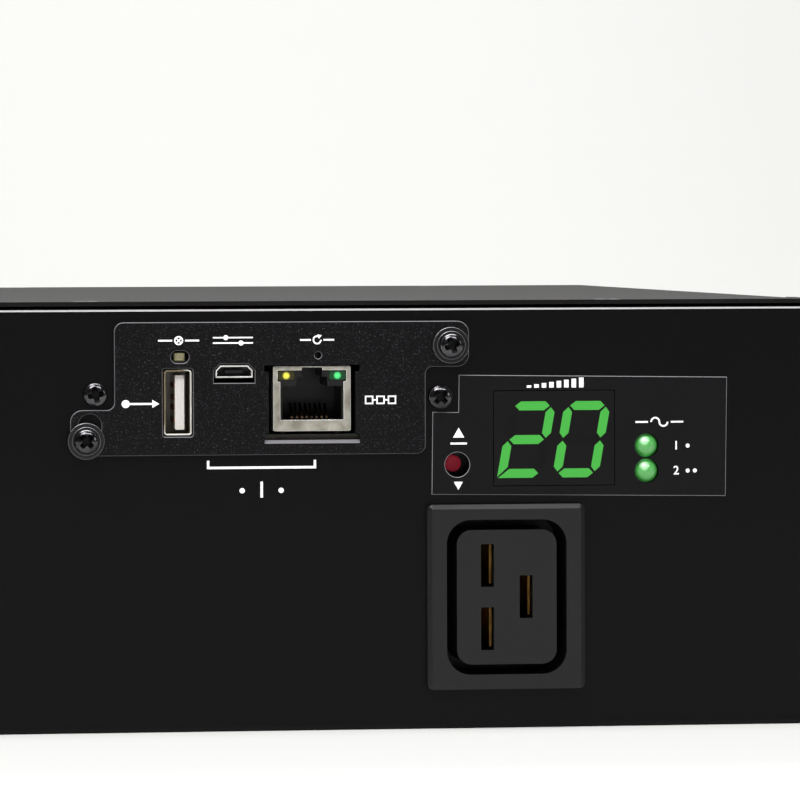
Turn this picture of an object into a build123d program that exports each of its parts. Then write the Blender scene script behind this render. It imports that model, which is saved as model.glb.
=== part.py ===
from build123d import *
import os
from math import radians, tan

os.makedirs("parts", exist_ok=True)

# Case and sheet metal
case_width = 440.0
case_depth = 305.0
case_height = 88.0
tray_sheet = 1.2
cover_sheet = 0.9
cover_gap = 0.4
cover_side_gap = 0.3
tray_bend = 1.0
cover_bend = 1.6
lip_depth = 14.0
side_lip_height = 15.0
return_depth = 34.0
corner_relief = 1.5
play = 0.15

# Rack ears, with slots on the 19-inch pattern
ear_sheet = 2.0
ear_reach = 21.3
ear_leg_depth = 30.0
ear_corner = 3.0
ear_bend = 1.2
rack_slot_inset = 8.75
rack_slot_end = 5.9
rack_slot_width = 6.8
rack_slot_length = 10.3

# Flat-head screws of the ears and the cover
ear_screw_radius = 2.0
ear_screw_head_radius = 3.9
ear_screw_length = 7.0
ear_screw_inset = 18.0
ear_screw_rows = [22.0, 66.0]
cover_screw_radius = 1.5
cover_screw_head_radius = 2.7
cover_screw_length = 6.0
cover_screw_inset = 7.0
cover_screw_from_side = 42.0
cover_screw_middle = 70.0
screw_play = 0.05
recess_depth = 0.9
recess_arm = 0.75

# Pan-head screws
pan_head_radius = 2.52
pan_head_height = 1.9
pan_rim_height = 0.6
pan_screw_radius = 1.5
pan_recess_length = 3.2
pan_recess_depth = 1.2

# Face plate of the network card: a body with one tab high on the right and one low on the left
card_from_right = 112.8
card_width = 63.8
card_height = 27.2
card_drop = 2.9
card_sheet = 1.0
card_tab_width = 9.0
card_tab_height = 9.4
card_corner = 1.9
card_tab_corner = 2.5
card_tab_fillet = 1.5
card_slot_margin_x = 2.4
card_slot_margin_z = 0.6
upper_screw_inset_x = 3.8
upper_screw_inset_z = 5.0
lower_screw_inset_x = 3.2
lower_screw_inset_z = 3.1
lower_slot_width = 4.7
lower_slot_height = 7.6
lower_slot_shift = 0.8
card_screw_length = 9.0
collar_radius = 3.75
collar_ring_radius = 2.95
collar_height = 0.8
collar_ring_height = 0.5
collar_round = 0.2
slot_screw_left_drop = 14.7
slot_screw_right_drop = 15.6
slot_screw_left_inset = 3.8
slot_screw_right_inset = 3.1
slot_screw_length = 6.0

# Sockets of the card, placed from the left and top edges of its face plate's body
usb_from_left = 12.95
usb_from_top = 16.4
usb_width = 5.6
usb_height = 13.3
usb_depth = 14.5
usb_wall = 0.3
usb_tongue_width = 1.9
usb_tongue_height = 11.1
usb_tongue_from_right = 1.4
usb_tongue_recess = 1.2
usb_base_depth = 4.0
usb_contact_pitches = [-3.5, -1.0, 1.0, 3.5]
usb_contact_width = 1.0
port_from_left = 24.5
port_from_top = 10.15
port_width = 7.6
port_height = 2.5
port_depth = 5.6
port_wall = 0.28
port_chamfer = 1.0
port_cut_width = 8.4
port_cut_height = 3.9
port_cut_chamfer = 1.35
port_cut_above = 0.34
port_tongue_width = 3.6
port_tongue_height = 0.65
lan_from_left = 40.45
lan_from_top = 15.75
lan_width = 15.9
lan_height = 13.3
lan_depth = 21.0
lan_wall = 0.25
lan_cavity_width = 12.2
lan_cavity_height = 6.9
lan_cavity_depth = 14.0
lan_key_width = 4.2
lan_step_width = 6.3
lan_step_height = 1.9
lan_rim_bottom = 2.3
lan_rim_side = 1.45
lan_rim_top = 0.87
lan_rim_shoulder = 3.2
lan_rim_shoulder_side = 0.9
lan_cut_width = 17.8
lan_cut_above = 0.2
lan_cut_below = 1.8
lan_cut_round = 0.7
lan_relief_width = 1.8
lan_relief_height = 1.3
lan_flap_sheet = 0.8
lan_flap_depth = 2.5
lan_contact_count = 8
lan_contact_pitch = 1.02
lan_contact_width = 0.45
lan_lamp_width = 3.3
lan_lamp_height = 1.75
lan_lamp_inset = 1.05
lan_lamp_drop = 1.08
lan_foot_radius = 1.2
lan_foot_spacing = 11.4
lan_foot_depths = [5.0, 15.0]
status_from_left = 13.4
status_from_top = 7.1
status_window_width = 3.7
status_window_height = 2.5
status_lamp_width = 2.25
status_lamp_height = 1.6
status_lamp_depth = 0.9
reset_from_left = 41.7
reset_from_top = 6.9
reset_hole_radius = 0.7
reset_radius = 0.5
reset_length = 1.6
reset_travel = 0.25
reset_switch_width = 4.7
reset_switch_depth = 3.5
reset_switch_height = 1.65
port_recess = 0.3

# Boards, cage and guides of the card
board_thickness = 1.6
upper_board_thickness = 1.0
upper_board_width = 40.0
upper_board_depth = 32.0
card_board_depth = 94.0
card_board_recess = 1.5
cage_depth = 84.0
cage_sheet = 1.0
cage_flange = 9.0
guide_width = 3.0
guide_height = 6.0
guide_groove = 1.5
guide_start = 16.0
cage_floor_gap = 3.2
cage_side_height = 30.0
plate_edge = 0.15
plate_tongue_width = 6.0
plate_tongue_depth = 10.0
spacer_radius = 2.4

# Display: label film, two-digit module, lamps, button and their board
label_width = 61.15
label_height = 24.6
label_film = 0.25
label_turn = 0.76
label_from_right = 48.87
label_drop = 26.65
label_notch_width = 5.35
label_notch_height = 7.65
display_from_right = 54.2
display_drop = 27.1
display_width = 25.0
display_height = 19.4
display_depth = 8.0
digit_pitch = 11.4
digit_width = 7.75
digit_height = 13.85
digit_stroke = 2.05
digit_drop = 0.3
digit_slant = 10.0
pin_column_pitch = 5.08
pin_row_pitch = 15.24
segment_gap = 0.3
segment_depth = 1.0
lamp_from_right = 34.95
lamp_drop = 31.4
lamp_pitch = 5.2
lamp_radius = 2.45
lamp_rise = 0.9
lamp_depth = 6.2
lamp_leg_pitch = 2.54
lamp_leg = 0.5
lamp_hole_play = 0.07
range_from_right = 74.3
range_drop = 32.45
range_hole_radius = 2.55
range_radius = 1.68
range_height = 4.3
range_travel = 0.3
range_switch_size = 6.0
range_switch_height = 3.4
shaft_play = 0.08
display_board_recess = 10.8
display_board_width = 59.0
display_board_height = 22.4
display_board_from_right = 49.0
display_board_drop = 26.7
display_post_radius = 2.2
display_post_places = [(-21.0, 8.0), (25.5, 8.0), (25.5, -8.5)]

# Large 16 A outlet, upright under the display
large_outlet_from_right = 64.4
large_outlet_gap = 1.65
large_outlet_width = 32.6
large_outlet_height = 38.0
outlet_flange = 2.4
outlet_bevel = 0.9
large_outlet_corner = 1.2
large_outlet_edge = 2.0
large_recess_width = 24.8
large_recess_height = 31.8
large_nose_width = 20.6
large_nose_height = 27.6
large_nose_corner = 3.0
large_slot_long = 8.8
large_slot_wide = 2.7
large_blade_spacing = 13.0
large_blade_offset = 4.0

# Two strips of 10 A outlets, as many as fit left of the network card
bank_pitch = 32.0
bank_height = 28.0
bank_from_right = 172.0
bank_side_margin = 4.0
bank_end = 2.0
bank_lower_z = 23.5
bank_row_pitch = 39.0
bank_corner = 1.5
bank_edge = 2.5
outlet_body_depth = 30.0
groove_depth = 17.0
small_recess_width = 27.6
small_recess_height = 19.6
small_recess_cut = 5.2
small_nose_width = 23.8
small_nose_height = 15.8
small_nose_cut = 4.2
small_slot_long = 4.6
small_slot_wide = 2.6
small_blade_spacing = 14.0
small_blade_offset = 2.0
slot_skin = 2.0
pocket_play = 0.6
lug_length = 10.0
lug_rise = 1.2
lug_depth = 4.0
contact_sheet = 0.5
blade_sheet = 2.0
leaf_play = 0.8
strip_sheet = 0.8
strip_width = 4.0
strip_reach = 8.5
strip_step = 2.0
strip_overhang = 10.0

# Inlets of the two supplies, on the rear wall
inlets_from_right = [70.0, 140.0]
inlet_drop = 30.0
inlet_flange_width = 50.0
inlet_flange_height = 32.0
inlet_flange = 3.0
inlet_corner = 4.0
inlet_body_width = 34.0
inlet_body_height = 27.0
inlet_body_depth = 24.0
inlet_cavity_width = 29.4
inlet_cavity_height = 22.4
inlet_cavity_depth = 20.0
inlet_cavity_corner = 3.0
inlet_blade_length = 16.0
inlet_blade_width = 8.0
inlet_blade_sheet = 2.0
inlet_tab_length = 10.0
inlet_blade_spacing = 13.0
inlet_blade_offset = 4.0
inlet_screw_spacing = 40.0
inlet_screw_length = 8.0

# Transfer board and what stands on it
transfer_from_right = 148.0
transfer_width = 252.0
transfer_depth = 140.0
standoff_height = 8.0
standoff_radius = 2.8
board_screw_length = 3.8
board_screw_inset = 5.0
mid_standoff_from_right = 170.0
relay_size = (30.0, 34.0, 25.0)
relay_columns = [-92.0, -54.0, -16.0]
relay_rows = [-20.0, 22.0]
transformer_size = (42.0, 36.0, 32.0)
transformer_place = (72.0, 10.0)
terminal_size = (8.0, 11.0, 15.0)
terminal_bore = 2.3
terminal_bore_depth = 7.0
board_edge = 2.0
terminal_screw_radius = 2.2
lead_radius = 1.7
lead_rise = 9.5
lead_bend = 7.0
lead_straight = 9.0
group_pitch = 12.0
groups_from_right = [244.0, 196.0, 92.0]
coil_outer_radius = 9.2
coil_inner_radius = 4.2
coil_thickness = 8.0
coil_gap = 3.0
ribbon_thickness = 0.9
display_ribbon_from_right = 34.0
display_socket_y = -42.0
card_socket_y = 40.0
display_ribbon_width = 14.0
card_ribbon_from_right = 123.0
card_ribbon_width = 20.0
ribbon_bend = 6.0
header_wall = 1.2
header_height = 6.0
header_depth = 6.0
boss_radius = 4.0
boss_height = 6.0
lug_sheet = 0.8
lug_reach = 7.0
lug_from_right = 190.0
lug_from_board = 38.0

# Positions that follow from the sizes above
front = -case_depth / 2
rear = case_depth / 2
right = case_width / 2
ear_span = case_width + 2 * ear_reach
rack_hole_spacing_x = ear_span - 2 * rack_slot_inset
rack_hole_spacing_z = case_height - 2 * rack_slot_end
cover_screw_columns = [side * x for side, x in (
    (-1, right - cover_screw_from_side), (-1, cover_screw_middle),
    (1, cover_screw_middle), (1, right - cover_screw_from_side),
)]
card_centre_x = right - card_from_right
label_centre_x = right - label_from_right
display_centre_x = right - display_from_right
lamp_centre_x = right - lamp_from_right
range_centre_x = right - range_from_right
display_board_centre_x = right - display_board_from_right
large_outlet_x = right - large_outlet_from_right
inlet_columns = [right - distance for distance in inlets_from_right]
transfer_centre_x = right - transfer_from_right
mid_standoff_x = right - mid_standoff_from_right
outlet_groups = [right - distance for distance in groups_from_right]
display_ribbon_x = right - display_ribbon_from_right
card_ribbon_x = right - card_ribbon_from_right
tray_width = case_width - 2 * (cover_sheet + cover_side_gap)
tray_height = case_height - cover_sheet - cover_gap
card_left = card_centre_x - card_width / 2
card_right = card_centre_x + card_width / 2
card_top = tray_height - card_drop
card_bottom = card_top - card_height
upper_screw = (card_right + card_tab_width - upper_screw_inset_x, card_top - upper_screw_inset_z)
lower_screw = (card_left - card_tab_width + lower_screw_inset_x, card_bottom + lower_screw_inset_z)
slot_screw_places = [
    (card_left - slot_screw_left_inset, card_top - slot_screw_left_drop),
    (card_right + slot_screw_right_inset, card_top - slot_screw_right_drop),
]
slot_left = card_left + card_slot_margin_x
slot_right = card_right - card_slot_margin_x
slot_width = slot_right - slot_left
slot_bottom = card_bottom + card_slot_margin_z
slot_height = card_height - 2 * card_slot_margin_z
usb_x = card_left + usb_from_left
usb_z = card_top - usb_from_top
port_x = card_left + port_from_left
port_z = card_top - port_from_top
lan_x = card_left + lan_from_left
lan_z = card_top - lan_from_top
lan_bottom = lan_z - lan_height / 2
lan_top = lan_z + lan_height / 2
lan_cut_height = lan_height + lan_cut_above + lan_cut_below
lan_cut_z = lan_z + (lan_cut_above - lan_cut_below) / 2
port_cut_z = port_z + port_height / 2 + port_cut_above - port_cut_height / 2
status_x = card_left + status_from_left
status_z = card_top - status_from_top
reset_x = card_left + reset_from_left
reset_z = card_top - reset_from_top
card_board_top = usb_z - usb_height / 2 - 0.05
card_board_bottom = card_board_top - board_thickness
upper_board_bottom = port_z + port_height / 2
upper_board_top = upper_board_bottom + upper_board_thickness
cage_inner_left = slot_left - 1.0
cage_inner_right = slot_right + 1.0
cage_inner_width = cage_inner_right - cage_inner_left
cage_floor = card_board_bottom - cage_floor_gap
card_board_width = cage_inner_width - 2 * (guide_width - guide_groove) - 2 * play
label_z = tray_height - label_drop
display_z = tray_height - display_drop
lamp_z = tray_height - lamp_drop
range_z = tray_height - range_drop
display_board_z = tray_height - display_board_drop
large_outlet_z = label_z - label_height / 2 - large_outlet_gap - large_outlet_height / 2
bank_right = right - bank_from_right
bank_count = int((bank_right + right - bank_side_margin - 2 * bank_end) / bank_pitch)
bank_width = bank_count * bank_pitch + 2 * bank_end
bank_left = bank_right - bank_width
bank_centre_x = (bank_left + bank_right) / 2
bank_rows = [bank_lower_z, bank_lower_z + bank_row_pitch]
inlet_z = tray_height - inlet_drop
transfer_bottom = tray_sheet + standoff_height
transfer_top = transfer_bottom + board_thickness
transfer_left = transfer_centre_x - transfer_width / 2
transfer_right = transfer_centre_x + transfer_width / 2
transfer_front = -transfer_depth / 2
transfer_rear = transfer_depth / 2
lead_z = transfer_top + lead_rise
lug_place = (right - lug_from_right, transfer_rear + lug_from_board)
lug_top = tray_sheet + boss_height + lug_sheet


# A plane parallel to the front face, this far behind it, with x to the right and y up
def front_plane(depth=0.0):
    return Plane.XZ.offset(-front - depth)


# A plane parallel to the rear face, this far inside it, with the same x and y
def rear_plane(depth=0.0):
    return Plane.XZ.offset(-rear + depth)


# Seats for loose pieces: z points out of the front, out of the rear or out of a side
def on_front(x, z, depth=0.0):
    return Plane(origin=(x, front + depth, z), x_dir=(1, 0, 0), z_dir=(0, -1, 0))


def on_rear(x, z, depth=0.0):
    return Plane(origin=(x, rear - depth, z), x_dir=(-1, 0, 0), z_dir=(0, 1, 0))


def on_side(side, y, z, reach):
    return Plane(origin=(side * reach, y, z), x_dir=(0, 1, 0), z_dir=(side, 0, 0))


# A pan-head screw, its head seated on z = 0 and its shank below, with a cross recess
def pan_screw(length, turn=0.0, radius=pan_screw_radius):
    crown = pan_head_height - pan_rim_height
    with BuildPart() as screw:
        with BuildSketch(Plane.XZ):
            with BuildLine():
                Polyline(
                    (0, pan_head_height), (0, -length), (radius, -length), (radius, 0),
                    (pan_head_radius, 0), (pan_head_radius, pan_rim_height),
                )
                ThreePointArc(
                    (pan_head_radius, pan_rim_height),
                    (pan_head_radius * 0.72, pan_rim_height + crown * 0.72),
                    (0, pan_head_height),
                )
            make_face()
        revolve(axis=Axis.Z)
        with BuildSketch(Plane.XY.offset(pan_head_height + pan_rim_height)):
            Rectangle(pan_recess_length, recess_arm, rotation=turn)
            Rectangle(recess_arm, pan_recess_length, rotation=turn)
        extrude(amount=-pan_rim_height - pan_recess_depth, mode=Mode.SUBTRACT)
    return screw.part


# A flat-head screw, the top of its head on z = 0
def flat_screw(radius, head_radius, length):
    head_height = head_radius - radius
    with BuildPart() as screw:
        with BuildSketch(Plane.XZ):
            with BuildLine():
                Polyline(
                    (0, 0), (head_radius, 0), (radius, -head_height), (radius, -length), (0, -length),
                    close=True,
                )
            make_face()
        revolve(axis=Axis.Z)
        with BuildSketch():
            Rectangle(1.3 * radius + recess_arm, recess_arm)
            Rectangle(recess_arm, 1.3 * radius + recess_arm)
        extrude(amount=-recess_depth, mode=Mode.SUBTRACT)
    return screw.part


# The cone and bore that such a screw leaves in a sheet, a little larger all round
def flat_screw_hole(radius, head_radius, length):
    with BuildPart() as hole:
        with BuildSketch(Plane.XZ):
            with BuildLine():
                Polyline(
                    (0, screw_play), (head_radius + 2 * screw_play, screw_play),
                    (radius + screw_play, radius - head_radius), (radius + screw_play, -length - 1),
                    (0, -length - 1), close=True,
                )
            make_face()
        revolve(axis=Axis.Z)
    return hole.part


# A rectangle whose two upper corners are cut off
def keyed_outline(width, height, cut):
    with BuildSketch() as outline:
        with BuildLine():
            Polyline(
                (-width / 2, -height / 2), (width / 2, -height / 2), (width / 2, height / 2 - cut),
                (width / 2 - cut, height / 2), (-width / 2 + cut, height / 2),
                (-width / 2, height / 2 - cut), close=True,
            )
        make_face()
    return outline.sketch


# Outline of the card's face plate, drawn from the front
def card_outline():
    left, right = card_left - card_tab_width, card_right + card_tab_width
    with BuildSketch() as outline:
        with BuildLine():
            Polyline(
                (left, card_bottom), (card_right, card_bottom), (card_right, card_top - card_tab_height),
                (right, card_top - card_tab_height), (right, card_top), (card_left, card_top),
                (card_left, card_bottom + card_tab_height), (left, card_bottom + card_tab_height), close=True,
            )
        make_face()
        inner = [
            v for v in outline.vertices()
            if (abs(v.X - card_right) < 0.01 and abs(v.Y - card_top + card_tab_height) < 0.01)
            or (abs(v.X - card_left) < 0.01 and abs(v.Y - card_bottom - card_tab_height) < 0.01)
        ]
        fillet(inner, card_tab_fillet)
        ends = outline.vertices().filter_by(lambda v: abs(v.X - left) < 0.01 or abs(v.X - right) < 0.01)
        fillet(ends, card_tab_corner)
        fillet(outline.vertices().filter_by(
            lambda v: (abs(v.X - card_left) < 0.01 and abs(v.Y - card_top) < 0.01)
            or (abs(v.X - card_right) < 0.01 and abs(v.Y - card_bottom) < 0.01)), card_corner)
    return outline.sketch


# Holes for the screws of the cover and the ears
cover_screw_seats = [
    (x, y, case_height)
    for x in cover_screw_columns for y in (front + cover_screw_inset, rear - cover_screw_inset)
]
ear_screw_seats = [
    on_side(side, front + ear_screw_inset, z, case_width / 2 + ear_sheet)
    for side in (-1, 1) for z in ear_screw_rows
]
cover_screw = flat_screw(cover_screw_radius, cover_screw_head_radius, cover_screw_length)
cover_screw_cut = flat_screw_hole(cover_screw_radius, cover_screw_head_radius, cover_screw_length)
ear_screw = flat_screw(ear_screw_radius, ear_screw_head_radius, ear_screw_length)
ear_screw_cut = flat_screw_hole(ear_screw_radius, ear_screw_head_radius, ear_screw_length)

# Folded tray: floor, front and rear walls with their top lips, side lips and returns
with BuildPart() as chassis:
    with BuildSketch(Plane.YZ.offset(-tray_width / 2)):
        RectangleRounded(case_depth, tray_height, tray_bend, align=(Align.CENTER, Align.MIN))
        with Locations((0, tray_sheet)):
            Rectangle(case_depth - 2 * tray_sheet, tray_height - 2 * tray_sheet,
                      align=(Align.CENTER, Align.MIN), mode=Mode.SUBTRACT)
        with Locations((0, tray_height)):
            Rectangle(case_depth - 2 * lip_depth, 3 * tray_sheet, mode=Mode.SUBTRACT)
    extrude(amount=tray_width)
    with BuildSketch(Plane.XY.offset(tray_sheet)):
        for side in (-1, 1):
            with Locations((side * (tray_width - tray_sheet) / 2, 0)):
                Rectangle(tray_sheet, case_depth - 2 * tray_sheet - 2 * corner_relief)
    extrude(amount=side_lip_height - tray_sheet)
    with BuildSketch(Plane.XY.offset(side_lip_height + corner_relief)):
        for side in (-1, 1):
            for end in (-1, 1):
                with Locations((side * (tray_width - tray_sheet) / 2,
                                end * (case_depth - tray_sheet - return_depth) / 2)):
                    Rectangle(tray_sheet, return_depth)
    extrude(amount=tray_height - 3 * tray_sheet - side_lip_height - corner_relief)
    with Locations(*cover_screw_seats):
        add(cover_screw_cut, mode=Mode.SUBTRACT)
    with Locations(*ear_screw_seats):
        add(ear_screw_cut, mode=Mode.SUBTRACT)
    with Locations((*lug_place, tray_sheet)):
        Cylinder(boss_radius, boss_height, align=(Align.CENTER, Align.CENTER, Align.MIN))
        Cylinder(pan_screw_radius + screw_play, boss_height, align=(Align.CENTER, Align.CENTER, Align.MIN),
                 mode=Mode.SUBTRACT)
    # openings of the front wall
    with BuildSketch(front_plane()):
        with Locations(((slot_left + slot_right) / 2, slot_bottom + slot_height / 2)):
            RectangleRounded(slot_width, slot_height, 1.0)
        with Locations((display_centre_x, display_z)):
            Rectangle(display_width + 2 * play, display_height + 2 * play)
        with Locations((lamp_centre_x, lamp_z)):
            SlotOverall(lamp_pitch + 2 * (lamp_radius + 2 * play), 2 * (lamp_radius + 2 * play), rotation=90)
        with Locations((range_centre_x, range_z)):
            Circle(range_hole_radius + play)
        with Locations(upper_screw, lower_screw, *slot_screw_places):
            Circle(pan_screw_radius + screw_play)
        with Locations((large_outlet_x, large_outlet_z)):
            Rectangle(large_outlet_width - 2 * large_outlet_edge + 2 * play,
                      large_outlet_height - 2 * large_outlet_edge + 2 * play)
        with Locations(*[(bank_centre_x, z) for z in bank_rows]):
            Rectangle(bank_width - 2 * bank_edge + 2 * play, bank_height - 2 * bank_edge + 2 * play)
    extrude(amount=-tray_sheet, mode=Mode.SUBTRACT)
    # openings of the rear wall
    with BuildSketch(rear_plane()):
        with Locations(*[(x, inlet_z) for x in inlet_columns]):
            Rectangle(inlet_body_width + 2 * play, inlet_body_height + 2 * play)
        with Locations(*[
            (x + side * inlet_screw_spacing / 2, inlet_z) for x in inlet_columns for side in (-1, 1)
        ]):
            Circle(pan_screw_radius + screw_play)
    extrude(amount=tray_sheet, mode=Mode.SUBTRACT)
chassis.part.label = "chassis"
export_step(chassis.part, "parts/chassis.step")

# Folded cover: top and two sides over the tray
with BuildPart() as top_cover:
    with BuildSketch(front_plane()):
        RectangleRounded(case_width, 2 * case_height, cover_bend)
        with Locations((0, 0)):
            RectangleRounded(case_width - 2 * cover_sheet, 2 * (case_height - cover_sheet),
                             cover_bend - cover_sheet + 0.1, mode=Mode.SUBTRACT)
            Rectangle(2 * case_width, 2 * case_height + 1, align=(Align.CENTER, Align.MAX),
                      mode=Mode.SUBTRACT)
    extrude(amount=-case_depth)
    with Locations(*cover_screw_seats):
        add(cover_screw_cut, mode=Mode.SUBTRACT)
    with Locations(*ear_screw_seats):
        add(ear_screw_cut, mode=Mode.SUBTRACT)
top_cover.part.label = "top_cover"
export_step(top_cover.part, "parts/top_cover.step")

# Screws of the cover, flush with its top
with BuildPart() as cover_screws:
    with Locations(*cover_screw_seats):
        add(cover_screw)
cover_screws.part.label = "cover_screws"
export_step(cover_screws.part, "parts/cover_screws.step")


# One rack ear: a leg along the side and a slotted flange in the plane of the front
def rack_ear(side):
    inner, outer = case_width / 2, ear_span / 2
    section = [
        (inner, front), (outer, front), (outer, front + ear_sheet), (inner + ear_sheet, front + ear_sheet),
        (inner + ear_sheet, front + ear_leg_depth), (inner, front + ear_leg_depth),
    ]
    with BuildPart() as ear:
        with BuildSketch(Plane.XY):
            with BuildLine():
                Polyline(*[(side * x, y) for x, y in section], close=True)
            make_face()
        extrude(amount=case_height)
        upright = ear.edges().filter_by(Axis.Z)
        bend_edges = upright.filter_by(lambda e: abs(abs(e.center().X) - inner) < 0.01)
        fillet(bend_edges.group_by(Axis.Y)[0], ear_bend)
        corner_edges = ear.edges().filter_by(Axis.Y)
        fillet(corner_edges.filter_by(lambda e: abs(abs(e.center().X) - outer) < 0.01), ear_corner)
        with BuildSketch(front_plane()):
            for end in (-1, 1):
                slot_z = case_height / 2 + end * rack_hole_spacing_z / 2
                with Locations((side * rack_hole_spacing_x / 2, slot_z)):
                    SlotOverall(rack_slot_length, rack_slot_width)
        extrude(amount=-ear_sheet, mode=Mode.SUBTRACT)
        with Locations(*ear_screw_seats):
            add(ear_screw_cut, mode=Mode.SUBTRACT)
    return ear.part


for side, name in ((-1, "ear_left"), (1, "ear_right")):
    ear = rack_ear(side)
    ear.label = name
    export_step(ear, f"parts/{name}.step")

with BuildPart() as ear_screws:
    with Locations(*ear_screw_seats):
        add(ear_screw)
ear_screws.part.label = "ear_screws"
export_step(ear_screws.part, "parts/ear_screws.step")

# Cage behind the card's slot: floor, two sides and flanges held by the slot screws
with BuildPart() as card_cage:
    with BuildSketch(front_plane(tray_sheet)):
        cage_x = (cage_inner_left + cage_inner_right) / 2
        with Locations((cage_x, cage_floor - cage_sheet)):
            Rectangle(cage_inner_width + 2 * cage_sheet, cage_side_height, align=(Align.CENTER, Align.MIN))
        with Locations((cage_x, cage_floor)):
            Rectangle(cage_inner_width, cage_side_height, align=(Align.CENTER, Align.MIN), mode=Mode.SUBTRACT)
    extrude(amount=-cage_depth)
    with BuildSketch(front_plane(tray_sheet)):
        with Locations((cage_inner_left, cage_floor)):
            Rectangle(cage_flange + 1.0, cage_side_height - cage_sheet, align=(Align.MAX, Align.MIN))
        with Locations((cage_inner_right, cage_floor + cage_side_height - cage_sheet)):
            Rectangle(cage_flange, cage_side_height * 0.75, align=(Align.MIN, Align.MAX))
    extrude(amount=-cage_sheet)
    with BuildSketch(front_plane(tray_sheet)):
        with Locations(upper_screw, lower_screw, *slot_screw_places):
            Circle(pan_screw_radius + screw_play)
    extrude(amount=-cage_sheet, mode=Mode.SUBTRACT)
card_cage.part.label = "card_cage"
export_step(card_cage.part, "parts/card_cage.step")

# Grooved guides that carry the card's board along its two edges
with BuildPart() as card_guides:
    for side, wall in ((1, cage_inner_left), (-1, cage_inner_right)):
        with BuildSketch(front_plane(guide_start)):
            with Locations((wall + side * guide_width / 2, cage_floor + guide_height / 2)):
                Rectangle(guide_width, guide_height)
            groove_x = wall + side * (guide_width - guide_groove / 2)
            with Locations((groove_x, card_board_bottom + board_thickness / 2)):
                Rectangle(guide_groove, board_thickness + 2 * play, mode=Mode.SUBTRACT)
        extrude(amount=guide_start - cage_depth)
card_guides.part.label = "card_guides"
export_step(card_guides.part, "parts/card_guides.step")

# Screws that hold the cage through the front wall
with BuildPart() as slot_screws:
    for place, turn in zip(slot_screw_places, (12.0, 45.0)):
        with Locations(on_front(*place)):
            add(pan_screw(slot_screw_length, turn))
slot_screws.part.label = "slot_screws"
export_step(slot_screws.part, "parts/slot_screws.step")

# Face plate of the card, with two tongues folded back under its board
plate_tongue_places = [cage_inner_left + guide_width + 2.4, cage_inner_right - guide_width - 2.4]
port_cut = keyed_outline(port_cut_width, port_cut_height, port_cut_chamfer)
with BuildPart() as card_plate:
    with BuildSketch(front_plane()):
        add(card_outline())
        with Locations((usb_x, usb_z)):
            RectangleRounded(usb_width + 4 * play, usb_height + 4 * play, 0.5, mode=Mode.SUBTRACT)
        with Locations((port_x, port_cut_z)):
            add(port_cut, mode=Mode.SUBTRACT)
        with Locations((lan_x, lan_cut_z)):
            Rectangle(lan_cut_width, lan_cut_height, mode=Mode.SUBTRACT)
        with Locations(*[
            (lan_x + side * lan_cut_width / 2, lan_cut_z + end * (lan_cut_height - lan_relief_height) / 2)
            for side in (-1, 1) for end in (-1, 1)
        ]):
            Rectangle(lan_relief_width, lan_relief_height, mode=Mode.SUBTRACT)
        with Locations((status_x, status_z)):
            SlotOverall(status_window_width, status_window_height, mode=Mode.SUBTRACT)
        with Locations((reset_x, reset_z)):
            Circle(reset_hole_radius, mode=Mode.SUBTRACT)
        with Locations(upper_screw):
            Circle(pan_screw_radius + play, mode=Mode.SUBTRACT)
        with Locations((lower_screw[0] + lower_slot_shift, lower_screw[1] + 1.7)):
            SlotOverall(lower_slot_height, lower_slot_width, rotation=90, mode=Mode.SUBTRACT)
    extrude(amount=card_sheet)
    outlines = card_plate.faces().sort_by(Axis.Y)[0].wires().sort_by(SortBy.LENGTH)
    jack_floor = [e for e in outlines[-2].edges() if e.length > lan_cut_width
                  and e.center().Z < lan_z]
    small_edges = [e for outline in outlines if outline is not outlines[-2] for e in outline.edges()]
    chamfer(jack_floor, lan_cut_round)
    chamfer(small_edges, plate_edge)
    with BuildSketch(front_plane()):
        with Locations(*[
            (lan_x + side * (lan_cut_width + lan_flap_sheet) / 2, lan_cut_z) for side in (-1, 1)
        ]):
            Rectangle(lan_flap_sheet, lan_cut_height - 2 * lan_relief_height)
    extrude(amount=-lan_flap_depth)
    with BuildSketch(Plane.XY.offset(card_board_bottom)):
        with Locations(*[(x, front - card_sheet) for x in plate_tongue_places]):
            Rectangle(plate_tongue_width, plate_tongue_depth + card_sheet, align=(Align.CENTER, Align.MIN))
    extrude(amount=-card_sheet)
    with Locations(*[(x, front + plate_tongue_depth / 2, card_board_bottom) for x in plate_tongue_places]):
        Cylinder(pan_screw_radius + screw_play, 6 * card_sheet, mode=Mode.SUBTRACT)
card_plate.part.label = "card_plate"
export_step(card_plate.part, "parts/card_plate.step")

# Collars and captive screws of the card
collar_total = collar_height + collar_ring_height
card_screw_seats = [on_front(*upper_screw, -card_sheet), on_front(*lower_screw, -card_sheet)]
with BuildPart() as card_collars:
    for seat in card_screw_seats:
        with Locations(seat):
            Cylinder(collar_radius, collar_height, align=(Align.CENTER, Align.CENTER, Align.MIN))
            Cylinder(collar_ring_radius, collar_total, align=(Align.CENTER, Align.CENTER, Align.MIN))
            Cylinder(pan_screw_radius + play, 4 * collar_total, mode=Mode.SUBTRACT)
    rims = card_collars.edges().filter_by(GeomType.CIRCLE)
    fillet(rims.filter_by(lambda e: e.radius > collar_radius - 0.01).group_by(Axis.Y)[0], collar_round)
    rims = card_collars.edges().filter_by(GeomType.CIRCLE).group_by(Axis.Y)[0]
    fillet(rims.filter_by(lambda e: e.radius > collar_ring_radius - 0.01), collar_round)
card_collars.part.label = "card_collars"
export_step(card_collars.part, "parts/card_collars.step")

with BuildPart() as card_screws:
    for seat, turn in zip(card_screw_seats, (22.0, 45.0)):
        with Locations(seat.offset(collar_total)):
            add(pan_screw(card_screw_length, turn))
card_screws.part.label = "card_screws"
export_step(card_screws.part, "parts/card_screws.step")

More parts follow.
